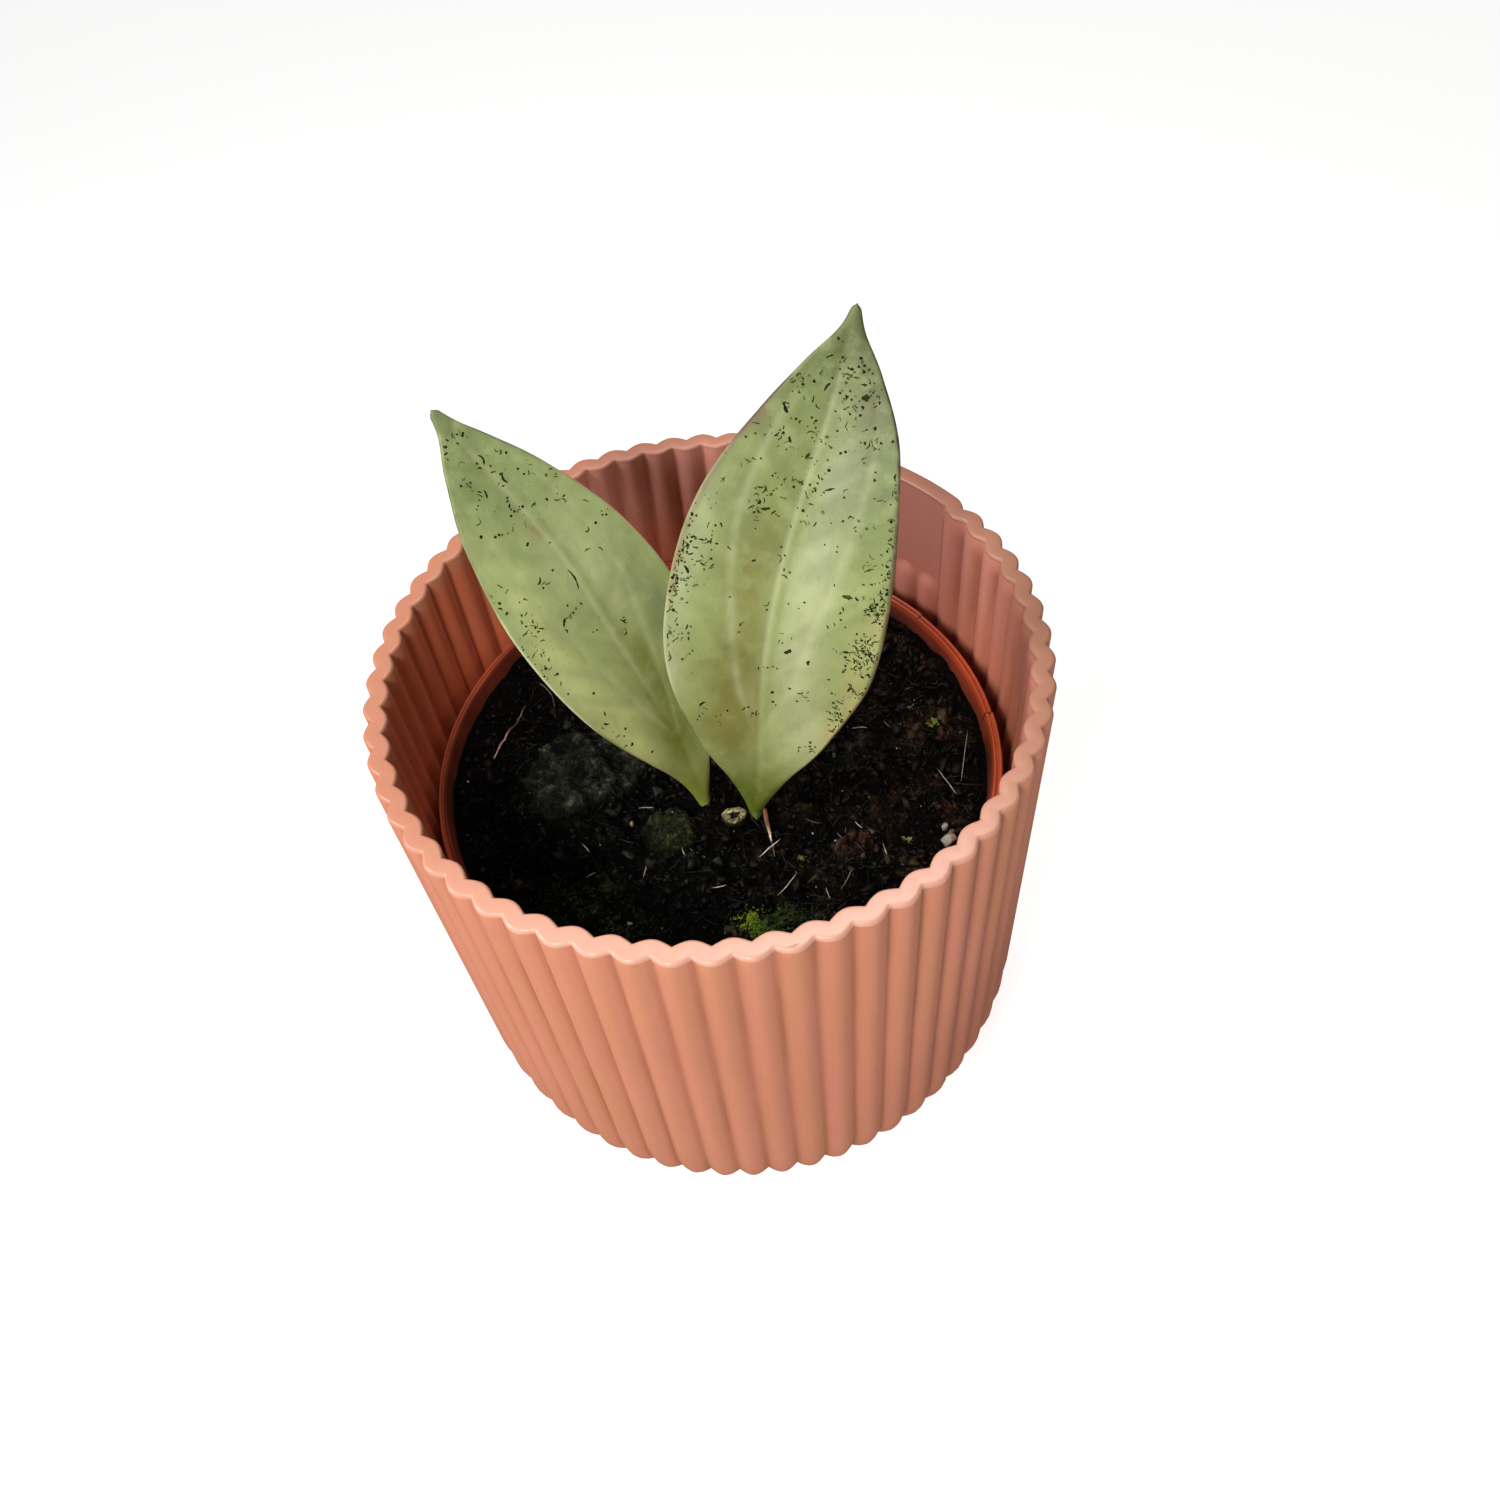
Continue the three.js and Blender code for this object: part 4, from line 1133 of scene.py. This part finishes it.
def moss():
    """Moss and tiny sprigs: short blades that lean every way, in patches of their own green."""
    dice = np.random.default_rng(MOSS_SEED)
    middle, spread, blades, green, length = (np.array(column) for column in zip(*MOSS_PATCHES))
    patch = np.repeat(np.arange(len(blades)), blades)
    foot = middle[patch] + dice.normal(size=(len(patch), 2)) * spread[patch] * 0.6
    kept = np.hypot(*(foot - NURSERY_CENTRE).T) < LITTER_REACH
    foot, patch = foot[kept], patch[kept]
    count = len(foot)
    length = (length[patch] * dice.uniform(0.6, 1.3, count))[:, None]
    base = on_soil(*foot.T, -0.1)
    lean = dice.normal(0, 1.1, (count, 2))
    way = unit(np.column_stack([lean, np.ones(count)]))
    share = np.array([0, 0.5, 1.0])
    paths = base[:, None] + way[:, None] * (length * share)[..., None]
    paths[:, :, :2] += lean[:, None] * (0.2 * length * share**2)[..., None]
    half = 0.34 * length * np.array([0.8, 1.0, 0.4])
    tint = paint(green[patch]) * dice.lognormal(0, 0.35, (count, 1))
    skins(
        "moss", tubes(paths, half, 0.6 * half, 4), crumb_finish("moss", 0.5, 0.05, 0.25),
        shades={"tint": np.clip(tint, 0.002, 0.7)[:, None, None]},
    )


def stem_finish():
    """Green brown bark, and a cut top of pale wood round a dark pith, by the mesh's own tint."""
    finish = Finish("stem bark and cut wood")
    place = finish.place()
    grain = finish.noise(finish.stretched(place, (1, 1, 0.4)), 1500, 4, 0.6)
    tint = finish.shade("tint", "Color")
    dark = finish.mix(1.0, tint, (0.4, 0.36, 0.28, 1), "MULTIPLY")
    colour = finish.mix(grain.between(0.4, 0.62), dark, tint)
    return finish.done(colour, 0.6, 0.2, grain, 0.15)


def stem_stub():
    """The stem: ovals along its middle line, a rounded cut edge, a pale rim of wood and a sunken pith."""
    table = [(*at, wide, deep) for at, wide, deep in STEM_RINGS]
    along, _ = catmull_rom(table, np.linspace(len(STEM_RINGS) - 1, 0, STEM_RING_COUNT))
    rise, share = np.array(STEM_CUT).T
    cut = np.tile(along[-1], (len(STEM_CUT), 1))
    cut[:, 2] += rise - CUT_BELOW_TOP
    cut[:, 3:] *= share[:, None]
    rows = np.vstack([along[:-2], cut])
    middle_x, middle_y, level, wide, deep = rows.T[:, :, None]
    number = np.arange(len(rows))[:, None] - (len(rows) - len(STEM_CUT))
    turn = full_turn(STEM_COLUMNS)
    bark_outline = 1 + 0.05 * np.sin(3 * turn + 0.5) + 0.03 * np.sin(7 * turn)
    pith_outline = 1 + 0.16 * np.sin(3 * turn + 1) + 0.14 * np.sin(5 * turn)
    outline = np.where(number >= len(STEM_CUT) - PITH_ROWS, pith_outline, bark_outline)
    x = middle_x + wide * outline * np.cos(turn)
    y = middle_y + deep * outline * np.sin(turn)
    z = level + 0.12 * np.sin(2 * turn + 0.8) * soft(level, 96, 97)
    pale = plateau(number, -0.5, 1.5, 5.4, 7.0) + 0 * turn
    dark = soft(number, 5.6, 7.4) + 0 * turn
    mottle = lattice_noise(wide * np.cos(turn) + 9, deep * np.sin(turn) + 9, 0.45, 91)
    # Painted highlights: two white spots on the wood above the pith
    painted_highlight = (bell(turn - 2.3, 0.6) + bell(turn - 0.9, 0.4)) * bell(number - 5.2, 0.9)
    wood = paint(STEM_WOOD) * (0.3 + 0.9 * soft(mottle, -0.5, 0.3))[..., None]
    wood = wood + painted_highlight[..., None] * np.array([0.9, 0.82, 0.74])
    tint = paint(STEM_BARK) * (1 - pale - dark).clip(0)[..., None]
    tint = tint + wood * pale[..., None] + paint(STEM_PITH) * dark[..., None]
    skins(
        "stem_stub", np.stack([x, y, z], axis=-1)[None], stem_finish(), stands_for=["stem"],
        shades={"tint": tint[None]},
    )


def roots():
    """The roots below the stem, hidden in the soil: smooth tubes that spread and dive."""
    turn = (np.arange(ROOT_COUNT) / ROOT_COUNT + ROOT_FIRST_TURN)[:, None] * 2 * np.pi
    (out, down), _ = (curve.T for curve in catmull_rom(ROOT_CURVE, np.linspace(0, 3, 14)))
    paths = np.array(ROOT_START) + np.stack([
        ROOT_REACH * out * np.cos(turn), ROOT_REACH * out * np.sin(turn), -ROOT_DROP * down + 0 * turn,
    ], axis=-1)
    half = ROOT_RADIUS * np.linspace(1, 0.5, 14) + 0 * turn
    tint = np.broadcast_to(paint(ROOT_TAN), (ROOT_COUNT, 1, 1, 3))
    skins("roots", tubes(paths, half, half, 10), stem_finish(), shades={"tint": tint})


RIGHT_LEAF = {
    "facing": (-0.15, -0.85, 0.5),
    "fold": 0.16,
    "stations": [
        # Midrib point, width to its left and width to its right
        (3.6, -15.9, 86.4, 1.4, 1.4),
        (5.1, -16.7, 91.0, 1.5, 1.5),
        (5.8, -16.3, 96.6, 1.6, 1.6),
        (6.9, -14.9, 105.0, 5.6, 5.8),
        (8.2, -13.0, 116.0, 12.2, 13.2),
        (10.7, -9.3, 132.3, 18.8, 20.5),
        (14.5, -4.9, 148.2, 20.0, 21.8),
        (20.0, 0.2, 163.3, 18.3, 19.5),
        (26.7, 6.2, 177.6, 12.3, 14.4),
        (30.9, 10.6, 187.1, 6.5, 7.8),
        (33.2, 13.2, 192.8, 2.2, 2.8),
        (34.7, 15.0, 196.7, 0.7, 0.7),
    ],
    "seed": 301,
    "green": (156, 171, 107),
    "foot": (112, 130, 44),
    "vein": (196, 204, 158),
    "groove": (136, 154, 84),
    "zones": [
        # Colour, then patches: distance along, across, spread along, spread across and strength
        ((141, 144, 78), [(38, -5, 20, 4.6, 0.95), (66, -5, 14, 4.5, 0.6), (24, -7, 9, 5, 0.7)]),
        ((184, 195, 147), [(46, 6, 18, 5.0, 0.85), (70, 6, 18, 4.8, 0.8), (26, 9, 11, 5.5, 0.75)]),
        ((184, 195, 148), [(40, -18, 18, 2.6, 0.8), (67, -17, 11, 3, 0.75)]),
        ((188, 184, 124), [(36, 18, 13, 2.2, 0.7), (24, 14, 6, 2, 0.5), (52, 20, 6, 1.6, 0.7)]),
        ((132, 146, 78), [(106, 0, 9, 9, 0.8)]),
        ((178, 184, 146), [(80, 6, 8, 3, 0.5)]),
        ((150, 134, 104), [(88, -12, 5, 2, 0.55), (94, 7, 4, 2, 0.35)]),
    ],
    "margins": [
        # Side, from and to along the leaf, share of the half width that it takes, colour and strength
        # The pale band on the left margin, from 28 to 52, is a painted highlight
        (-1, 50, 94, 0.09, (156, 116, 96), 0.5), (1, 14, 60, 0.05, (96, 66, 44), 0.7),
        (1, 60, 100, 0.06, (98, 74, 56), 0.7), (-1, 8, 30, 0.04, (88, 84, 50), 0.6),
        (-1, 80, 96, 0.05, (92, 66, 58), 0.7), (-1, 28, 52, 0.05, (206, 208, 170), 0.4),
    ],
    "shades": [
        # Distance along, and how light the leaf is painted there: painted light and shade, darker towards the
        # tip
        (0, 0.66), (9, 0.9), (18, 1.12), (35, 1.06), (55, 0.98), (66, 0.86), (85, 0.74), (95, 0.58),
        (104, 0.49), (112, 0.44),
    ],
    "right_shade": 0.25,
    "flecks": [(50, 18, 30, 4, 0.9), (70, -16, 20, 5, 0.8), (95, 0, 18, 12, 0.7)],
    "specks": [
        # Distance along and across, spread along and across, and how many nests
        (62, 19.5, 8, 1.5, 46), (47, 19, 6, 1.6, 36), (36, 17.2, 5, 1.3, 20), (78, 17, 6, 2, 20),
        (21, 10.7, 1.2, 0.6, 4), (29, 15.3, 1.6, 0.8, 9), (92, 8, 5, 3, 22), (76, 9, 5, 3, 8),
        (64, -18.6, 8, 0.9, 44), (52, -19, 5, 0.9, 28), (60, -15, 4, 2.2, 9), (80, -10, 5, 4, 16),
        (92, -4, 5, 3, 16), (96, 4, 3, 2, 10), (74, -5, 4, 2.4, 16), (85, 2, 7, 1.4, 18),
        (62, 4, 12, 5, 6), (45, -16, 6, 2.4, 9), (38, 6, 10, 6, 5), (34, -9, 10, 5, 7),
        (58, 13, 10, 3, 8), (101, 2, 4, 1.6, 7), (68, 0.4, 8, 0.8, 9), (44, -19.3, 2, 0.6, 7),
    ],
    "blots": [
        # Distance along and across, half length, half width and heading
        (42.5, 4.3, 0.85, 0.42, 0.7), (41, 8.4, 0.5, 0.34, 1.5), (58, 13.3, 1.0, 0.5, 0.1),
        (58.2, 15, 0.5, 0.3, 2.4), (32.3, 2.2, 0.45, 0.34, 0.8), (56.5, -17, 0.9, 0.32, -0.9),
        (35.5, -17.9, 0.8, 0.34, -0.4), (29, -11.5, 0.75, 0.3, 0.8), (45.5, 15.2, 0.8, 0.3, 0.2),
        (77.5, 4.5, 1.0, 0.22, 0.6), (89.5, -7.6, 1.1, 0.36, -0.9), (95, 5.6, 0.8, 0.6, 0.4),
        (82, -1.3, 0.7, 0.28, 1.2), (84, -5.2, 0.6, 0.26, -1.0), (70.5, -5.6, 0.9, 0.3, 0.3),
        (62.5, -17.2, 0.5, 0.2, 0.1), (62.4, -15.6, 0.6, 0.2, 0.0), (62.3, -14.0, 0.5, 0.18, 0.1),
        (62.2, -12.6, 0.4, 0.16, 0.0), (60.3, -5.2, 0.4, 0.28, 0.4), (95, -1.6, 0.9, 0.24, 1.2),
    ],
}
LEFT_LEAF = {
    "facing": (0.35, -0.8, 0.45),
    "fold": 0.14,
    "stations": [
        # Midrib point, width to its left and width to its right
        (-1.4, -13.7, 85.8, 1.3, 1.3),
        (-3.4, -12.3, 90.0, 1.4, 1.4),
        (-4.8, -11.3, 95.6, 1.4, 1.5),
        (-5.9, -10.2, 103.8, 3.6, 3.7),
        (-7.8, -8.6, 114.0, 8.2, 6.9),
        (-12.7, -5.5, 128.6, 13.6, 13.0),
        (-18.2, -1.6, 143.0, 16.1, 16.0),
        (-23.6, 2.7, 157.2, 16.4, 13.9),
        (-30.9, 7.6, 170.3, 12.4, 9.4),
        (-36.3, 11.2, 178.5, 6.8, 5.2),
        (-39.6, 13.5, 183.4, 2.5, 2.2),
        (-41.8, 15.0, 186.7, 0.8, 0.8),
    ],
    "seed": 401,
    "green": (151, 166, 106),
    "foot": (124, 134, 56),
    "vein": (176, 184, 136),
    "groove": (120, 136, 76),
    "zones": [
        ((168, 178, 130), [(66, 2, 12, 8, 0.6), (52, 3, 8, 3, 0.5)]),
        ((118, 128, 58), [(26, 0.8, 12, 3.4, 0.85), (38, 3, 12, 3, 0.75), (18, -2, 6, 3, 0.6)]),
        # Painted shadow of the right leaf: darker and cooler along the right side
        ((128, 136, 96), [(46, 11, 16, 3.2, 0.8)]),
        ((186, 198, 134), [(30, -8, 14, 3, 0.7), (54, -12.5, 22, 3.4, 0.8), (74, -10, 8, 3, 0.5)]),
        ((164, 136, 108), [(75, -0.6, 2.2, 1.3, 0.6)]),
    ],
    "margins": [
        # The pale band on the left margin is a painted highlight, and the darker green bands on that margin
        # below and above it painted shade
        (-1, 34, 66, 0.035, (216, 218, 186), 0.5), (-1, 4, 34, 0.05, (118, 122, 60), 0.55),
        (1, 55, 85, 0.05, (190, 158, 124), 0.5), (1, 85, 102, 0.12, (126, 128, 116), 0.5),
        (-1, 68, 106, 0.05, (104, 114, 68), 0.6),
    ],
    # Distance along, and how light the leaf is painted there: painted light and shade, darker towards the tip
    "shades": [
        (0, 1.3), (8, 1.5), (20, 1.42), (35, 1.22), (50, 1.16), (62, 1.16), (74, 0.96), (86, 0.8),
        (97, 0.64), (108, 0.5),
    ],
    "right_shade": 0.0,
    "flecks": [(70, -12, 20, 4, 0.8), (88, 0, 14, 9, 0.7)],
    "specks": [
        (66, -13, 5, 1.6, 12), (51, -15.2, 2, 0.7, 10), (80, -6, 5, 3, 9), (91, -3, 4, 2.4, 10),
        (88, 2, 5, 2, 7), (34, -10, 7, 1.0, 7), (58, -13, 4, 1.6, 6), (76, 5, 6, 4, 6), (62, -4, 8, 3, 6),
        (82, 8, 4, 2, 5), (70, 8, 5, 3, 5), (97, 0, 3, 1.5, 4), (44, -3, 8, 3, 3),
    ],
    "blots": [
        (62.8, -0.3, 2.3, 0.22, 1.5), (91, 1.0, 1.1, 0.2, 1.4), (86, -3.0, 0.9, 0.2, 1.2),
        (86, 1.2, 1.1, 0.22, 1.3), (94, 5.0, 1.7, 0.14, 1.3), (74, -3.4, 0.4, 0.3, 0.5),
        (57, -6.6, 0.9, 0.26, 0.9), (30.5, -8.4, 0.3, 0.24, 0.4), (26.5, -9, 0.45, 0.26, 0.9),
        (21.5, -6.4, 0.3, 0.22, 0.4), (66.5, -14.6, 0.35, 0.3, 0.4), (67, -6, 0.8, 0.2, 0.7),
    ],
}


def leaf_length(leaf):
    """Stations along the midrib, finely spaced, and the distance in millimetres from the blade's foot."""
    station = np.linspace(0, len(leaf["stations"]) - 1, 1200)
    place, _ = catmull_rom(leaf["stations"], station)
    steps = np.linalg.norm(np.diff(place[:, :3], axis=0), axis=1)
    distance = np.concatenate([[0], np.cumsum(steps)])
    return station, distance - np.interp(BLADE_FOOT_STATION, station, distance)


def vein_share(length, reach):
    """How far out, from midrib to margin, the two side veins lie at a distance from the blade's foot."""
    return np.interp(length / reach, VEIN_ALONG, VEIN_OUT)


def leaf_surface(leaf, station, share, side):
    """A point of the leaf's front (side 1) or back (side -1), and the direction that the surface faces.

    From the midrib's point it goes across by the width times the share, and up by the fold, a hyperbola
    with its bend at the midrib, then off the middle by the thickness, which runs out in a half round at
    the margin. Veins are pressed in by a fraction of a millimetre, and the back has a low keel.
    """
    row, direction = catmull_rom(leaf["stations"], station)
    forward = unit(direction[..., :3])
    face = unit(np.array(leaf["facing"], float))
    up = unit(face - (forward @ face)[..., None] * forward)
    right = np.cross(forward, up)
    stations, distances = leaf_length(leaf)
    length = np.interp(station, stations, distances)
    reach = distances[-1]
    from_tip = np.clip((reach - length + 0.05) / TIP_ROUND, 0, 1)
    width = np.where(share < 0, row[..., 3], row[..., 4]) * np.sqrt(1 - (1 - from_tip) ** 2)
    across = share * width
    blade = soft(station, 1.5, 3.5)
    middle = STALK_HALF_THICKNESS * (1 - blade) + BLADE_HALF_THICKNESS * blade
    half = middle + (MARGIN_HALF_THICKNESS - middle) * share**2
    round_off = width * (1 - blade) + np.minimum(MARGIN_ROUND, width) * blade
    from_margin = np.minimum(1, width * (1 - np.abs(share)) / round_off)
    fullness = np.sqrt(np.clip(1 - (1 - from_margin) ** 2, 0, 1))
    bend = np.hypot(across, MIDRIB_ROUND)
    rise = leaf["fold"] * (bend - MIDRIB_ROUND)
    slope = leaf["fold"] * across / bend
    rise = rise + blade * WIDE_WAVE * lattice_noise(across + 50, length, 13.0, leaf["seed"])
    rise = rise + blade * FINE_WAVE * lattice_noise(across, length, 5.0, leaf["seed"] + 1)
    vein = vein_share(length, reach) * width
    share_along = length / reach
    fade = plateau(share_along, 0.16, 0.3, 0.8, 0.95)
    pressed = MIDRIB_PRESSED * bell(across, PRESSED_SPREAD) * (1 - soft(share_along, 0.85, 1))
    pressed = pressed + VEIN_PRESSED * bell(np.abs(across) - vein, PRESSED_SPREAD) * fade
    keel = KEEL_RISE * bell(across, KEEL_SPREAD) * (1 - 0.8 * soft(share_along, 0, 1))
    skin = half + blade * np.where(side > 0, -pressed, keel)
    place = row[..., :3] + right * across[..., None]
    place = place + up * (rise + side * skin * fullness)[..., None]
    facing = unit(up - right * slope[..., None]) * np.where(side > 0, 1, -1)[..., None]
    return place, facing, across, length


def spots(pairs, length, across):
    """Sum of bell shaped patches: each has a distance along, a distance across and two spreads."""
    return sum(
        strength * np.exp(-(((length - at) / along) ** 2) - (((across - off) / wide) ** 2))
        for at, off, along, wide, strength in pairs
    )


def leaf_tint(leaf, length, across, share, front):
    """The leaf's colours: green foot, olive and silvery zones, pale veins, margins and a dull back.

    Faint paler streaks run out and up from the midrib, and the leaf's shades paint light and shade on the
    whole, along it and darker towards its right margin.
    """
    reach = leaf_length(leaf)[1][-1]
    seed = leaf["seed"]
    noise = lattice_noise(across + 90, length, 6.0, seed + 5)
    tint = np.broadcast_to(paint(leaf["green"]), (*length.shape, 3))
    for colour, patches in leaf["zones"]:
        tint = mixed(tint, colour, spots(patches, length, across) * (1 + 0.35 * noise))
    tint = mixed(tint, leaf["foot"], 1 - soft(length + 2 * noise, 4, 17))
    streak = lattice_noise(length - 1.1 * np.abs(across), 0.3 * across + 70, 2.4, seed + 6)
    patch = lattice_noise(across + 40, length, 3.2, seed + 7)
    patch = patch + 0.6 * lattice_noise(across, length, 1.5, seed + 8)
    tint = tint * (1 + 0.09 * streak + 0.07 * patch)[..., None]
    vein = vein_share(length, reach)
    fade = plateau(length / reach, 0.16, 0.3, 0.75, 0.9)
    groove = bell(across - 1.3, 0.9) * plateau(length, 8, 30, 0.7 * reach, reach)
    tint = mixed(tint, leaf["groove"], 0.5 * groove)
    pale = 0.55 * bell(across, 0.6) * plateau(length, 20, 45, 0.85 * reach, reach)
    pale = pale + (0.42 + 0.2 * patch) * bell((np.abs(share) - vein) * 20, 0.9) * fade
    tint = mixed(tint, leaf["vein"], pale)
    for side, low, high, inset, colour, strength in leaf["margins"]:
        inner = soft(side * share, 1 - inset, 1 - 0.35 * inset)
        span = plateau(length, low - 3, low + 3, high - 3, high + 3)
        tint = mixed(tint, colour, strength * inner * span * (1 + 0.5 * noise))
    along, level = zip(*leaf["shades"])
    # Painted light and shade along the leaf, and painted shade towards its right margin
    tint = tint * np.interp(length, along, level)[..., None]
    tint = tint * (1 - leaf["right_shade"] * soft(length, 55, 90) * soft(share, 0, 0.8))[..., None]
    return np.where(front[..., None], tint, tint * np.array(BACK_DULLED))


def leaf_blade(name, leaf, node):
    """A leaf with its stalk: rings that run across its front and back again across its back.

    The rings' points crowd at the midrib and the margins, and the rings crowd towards the tip, which
    closes on a point a little past the last ring.
    """
    even = np.linspace(-1, 1, 4001)
    weight = 1 + 2.2 * bell(even, 0.07) + 6 * bell(1 - np.abs(even), 0.025)
    front = np.interp(np.linspace(0, 1, BLADE_POINTS), np.cumsum(weight) / weight.sum(), even)
    front[[0, -1]] = -1, 1
    share = np.concatenate([front, front[-2:0:-1]])
    side = np.concatenate([np.ones(len(front)), -np.ones(len(front) - 2)])
    last = len(leaf["stations"]) - 1
    station = np.concatenate([
        np.linspace(0, BLADE_FOOT_STATION, STALK_RINGS)[:-1],
        np.linspace(BLADE_FOOT_STATION, last - 1, BLADE_RINGS)[:-1],
        np.linspace(last - 1, last, TIP_RINGS),
    ])
    station, share, side = np.broadcast_arrays(station[:, None], share, side)
    points, _, across, length = leaf_surface(leaf, station, share, side)
    tint = leaf_tint(leaf, length, across, share, side > 0)
    flecked = np.clip(spots(leaf["flecks"], length, across) + 0.12, 0, 1) * (side > 0)
    foot, before, tip = (points[ring].mean(axis=0) for ring in (0, -3, -1))
    skins(
        name, points[None], leaf_skin(), stands_for=[node],
        ends=np.stack([foot, tip + TIP_REACH * unit(tip - before)])[None],
        shades={"tint": tint[None], "flecked": flecked[None]},
        sheet=np.stack([across + BACK_SHEET_AWAY * (side < 0), length], axis=-1)[None],
    )


def speck_marks(leaf, dice):
    """Each mark's place along and across, half length, half width, heading and hook, and if it is faded.

    Seeded nests hold one to five marks each, loose round the nest or in a row, and are dots or dashes.
    The blots that the leaf's table gives one by one follow them.
    """
    groups = np.array(leaf["specks"], float)
    nests = np.repeat(np.arange(len(groups)), groups[:, 4].astype(int))
    nest_at = groups[nests, :2] + dice.normal(size=(len(nests), 2)) * groups[nests, 2:4]
    members = dice.choice([1, 1, 2, 2, 3, 4, 5], len(nests))
    lean = dice.uniform(0, np.pi, len(nests))
    in_row = dice.uniform(0, 1, len(nests)) < 0.4
    nest = np.repeat(np.arange(len(nests)), members)
    count = len(nest)
    order = np.arange(count) - np.repeat(np.cumsum(members) - (members + 1) / 2, members)
    row_way = np.stack([np.sin(lean), np.cos(lean)], axis=-1)[nest]
    loose = dice.normal(size=(count, 2)) * SPECK_NEST_SPREAD
    in_line = row_way * (order * dice.uniform(0.7, 1.1, count))[:, None] + 0.2 * loose
    at = nest_at[nest] + np.where(in_row[nest, None], in_line, loose)
    dash = dice.uniform(0, 1, count) < 0.45
    size = np.where(dash, dice.uniform(0.25, 0.75, count), dice.uniform(0.13, 0.33, count))
    half = np.where(dash, dice.uniform(0.08, 0.2, count), size * dice.uniform(0.7, 1.2, count))
    heading = lean[nest] + dice.normal(0, 1.1, count)
    hook = np.where(dash, dice.normal(0, 0.4, count), 0)
    blots = np.array(leaf["blots"], float)
    blots = np.column_stack([blots, dice.normal(0, 0.3, len(blots))])
    marks = np.vstack([np.column_stack([at, size, half, heading, hook]), blots])
    lightened = np.append(dice.uniform(0, 1, count) < 0.45, np.zeros(len(blots), bool))
    return marks, lightened


def leaf_specks(name, leaf):
    """The dark marks on a leaf: each a thin ragged film on its skin, bowed by its hook."""
    dice = np.random.default_rng(leaf["seed"] + 9)
    marks, lightened = speck_marks(leaf, dice)
    along, off, size, half, heading, hook = marks.T[:, :, None]
    share = np.linspace(-1, 1, SPECK_RINGS)
    step, bow = share * size, share**2 * (hook * size)
    along = along + step * np.sin(heading) + bow * np.cos(heading)
    off = off + step * np.cos(heading) - bow * np.sin(heading)
    stations, distances = leaf_length(leaf)
    station = np.interp(along, distances, stations)
    widths, _ = catmull_rom(leaf["stations"], station)
    reach = np.where(off < 0, widths[..., 3], widths[..., 4])
    inside = (np.abs(off) < reach - SPECK_FROM_MARGIN) & (along > SPECK_FROM_FOOT)
    kept = inside.all(axis=1)
    station, across = station[kept], (off / reach)[kept]
    place, facing, _, _ = leaf_surface(leaf, station, across, np.ones_like(station))
    ragged = dice.uniform(0.55, 1.3, station.shape)
    width = half[kept] * np.sqrt(np.clip(1 - share**2, 0.04, 1)) * ragged
    dark = dice.lognormal(0, 0.45, (len(station), 1))
    tint = np.where(lightened[kept, None], paint(LEAF_SPECK_FADED), paint(LEAF_SPECK)) * dark
    films = tubes(place, width, SPECK_HALF_THICKNESS + 0 * width, 6, facing)
    skins(
        name, films, crumb_finish("leaf specks", 0.65, 0.01, 0.06),
        shades={"tint": np.clip(tint, 0.003, 0.2)[:, None, None]},
    )


def place_camera():
    """The photograph's view: heading and pitch turn the camera to the pot, and the roll tips it."""
    heading, pitch, roll = np.radians([CAMERA_HEADING_DEG, CAMERA_PITCH_DEG, CAMERA_ROLL_DEG])
    flat = Vector((np.sin(heading), np.cos(heading), 0))
    forward = flat * np.cos(pitch) + Vector((0, 0, -np.sin(pitch)))
    level = Vector((np.cos(heading), -np.sin(heading), 0))
    upright = level.cross(forward)
    right = level * np.cos(roll) + upright * np.sin(roll)
    up = right.cross(forward)
    data = bpy.data.cameras.new("camera")
    data.sensor_width = CAMERA_SENSOR
    data.lens = CAMERA_LENS
    data.shift_x, data.shift_y = CAMERA_SHIFT
    data.clip_start = 0.01
    camera = added("camera", data)
    turn = Matrix((right, up, -forward)).transposed().to_4x4()
    camera.matrix_world = Matrix.Translation(Vector(CAMERA_PLACE) * MM) @ turn
    bpy.context.scene.camera = camera


def light_stage():
    """A pale floor, soft lamps at the left, beside the lens and overhead, and weak warm light all round."""
    for name, place, width, watts, tint in LAMPS:
        data = bpy.data.lights.new(name, "AREA")
        data.size = width * MM
        data.energy = watts
        data.color = tint
        lamp = added(name, data)
        lamp.visible_camera = False
        spot = Vector(place) * MM
        turn = (Vector(LAMP_AIM) * MM - spot).to_track_quat("-Z", "Y").to_matrix().to_4x4()
        lamp.matrix_world = Matrix.Translation(spot) @ turn

    world = bpy.data.worlds.new("room")
    world.use_nodes = True
    sky = world.node_tree.nodes["Background"]
    sky.inputs["Color"].default_value = ROOM_TINT
    sky.inputs["Strength"].default_value = ROOM_LIGHT
    bpy.context.scene.world = world

    mesh = bpy.data.meshes.new("floor")
    corners = [(-1, -1), (1, -1), (1, 1), (-1, 1)]
    places = [(x * FLOOR_REACH * MM, y * FLOOR_REACH * MM, 0) for x, y in corners]
    mesh.from_pydata(places, [], [(0, 1, 2, 3)])
    glow = {"Emission Color": (1, 1, 1, 1), "Emission Strength": FLOOR_GLOW}
    mesh.materials.append(Finish("pale floor").done((0.5, 0.5, 0.5, 1), 0.9, 0.1, more=glow))
    floor = added("floor", mesh)
    floor.visible_glossy = False
    bpy.context.scene.view_settings.view_transform = "Standard"


place_camera()
light_stage()
cover_pot_shell()
nursery_pot_shell()
soil_bed()
soil_crumbs()
soil_grit()
peat_fibres()
straws()
twigs()
stem_bract()
moss()
stem_stub()
roots()
leaf_blade("leaf_right_blade", RIGHT_LEAF, "leaf_right")
leaf_blade("leaf_left_blade", LEFT_LEAF, "leaf_left")
leaf_specks("leaf_right_specks", RIGHT_LEAF)
leaf_specks("leaf_left_specks", LEFT_LEAF)
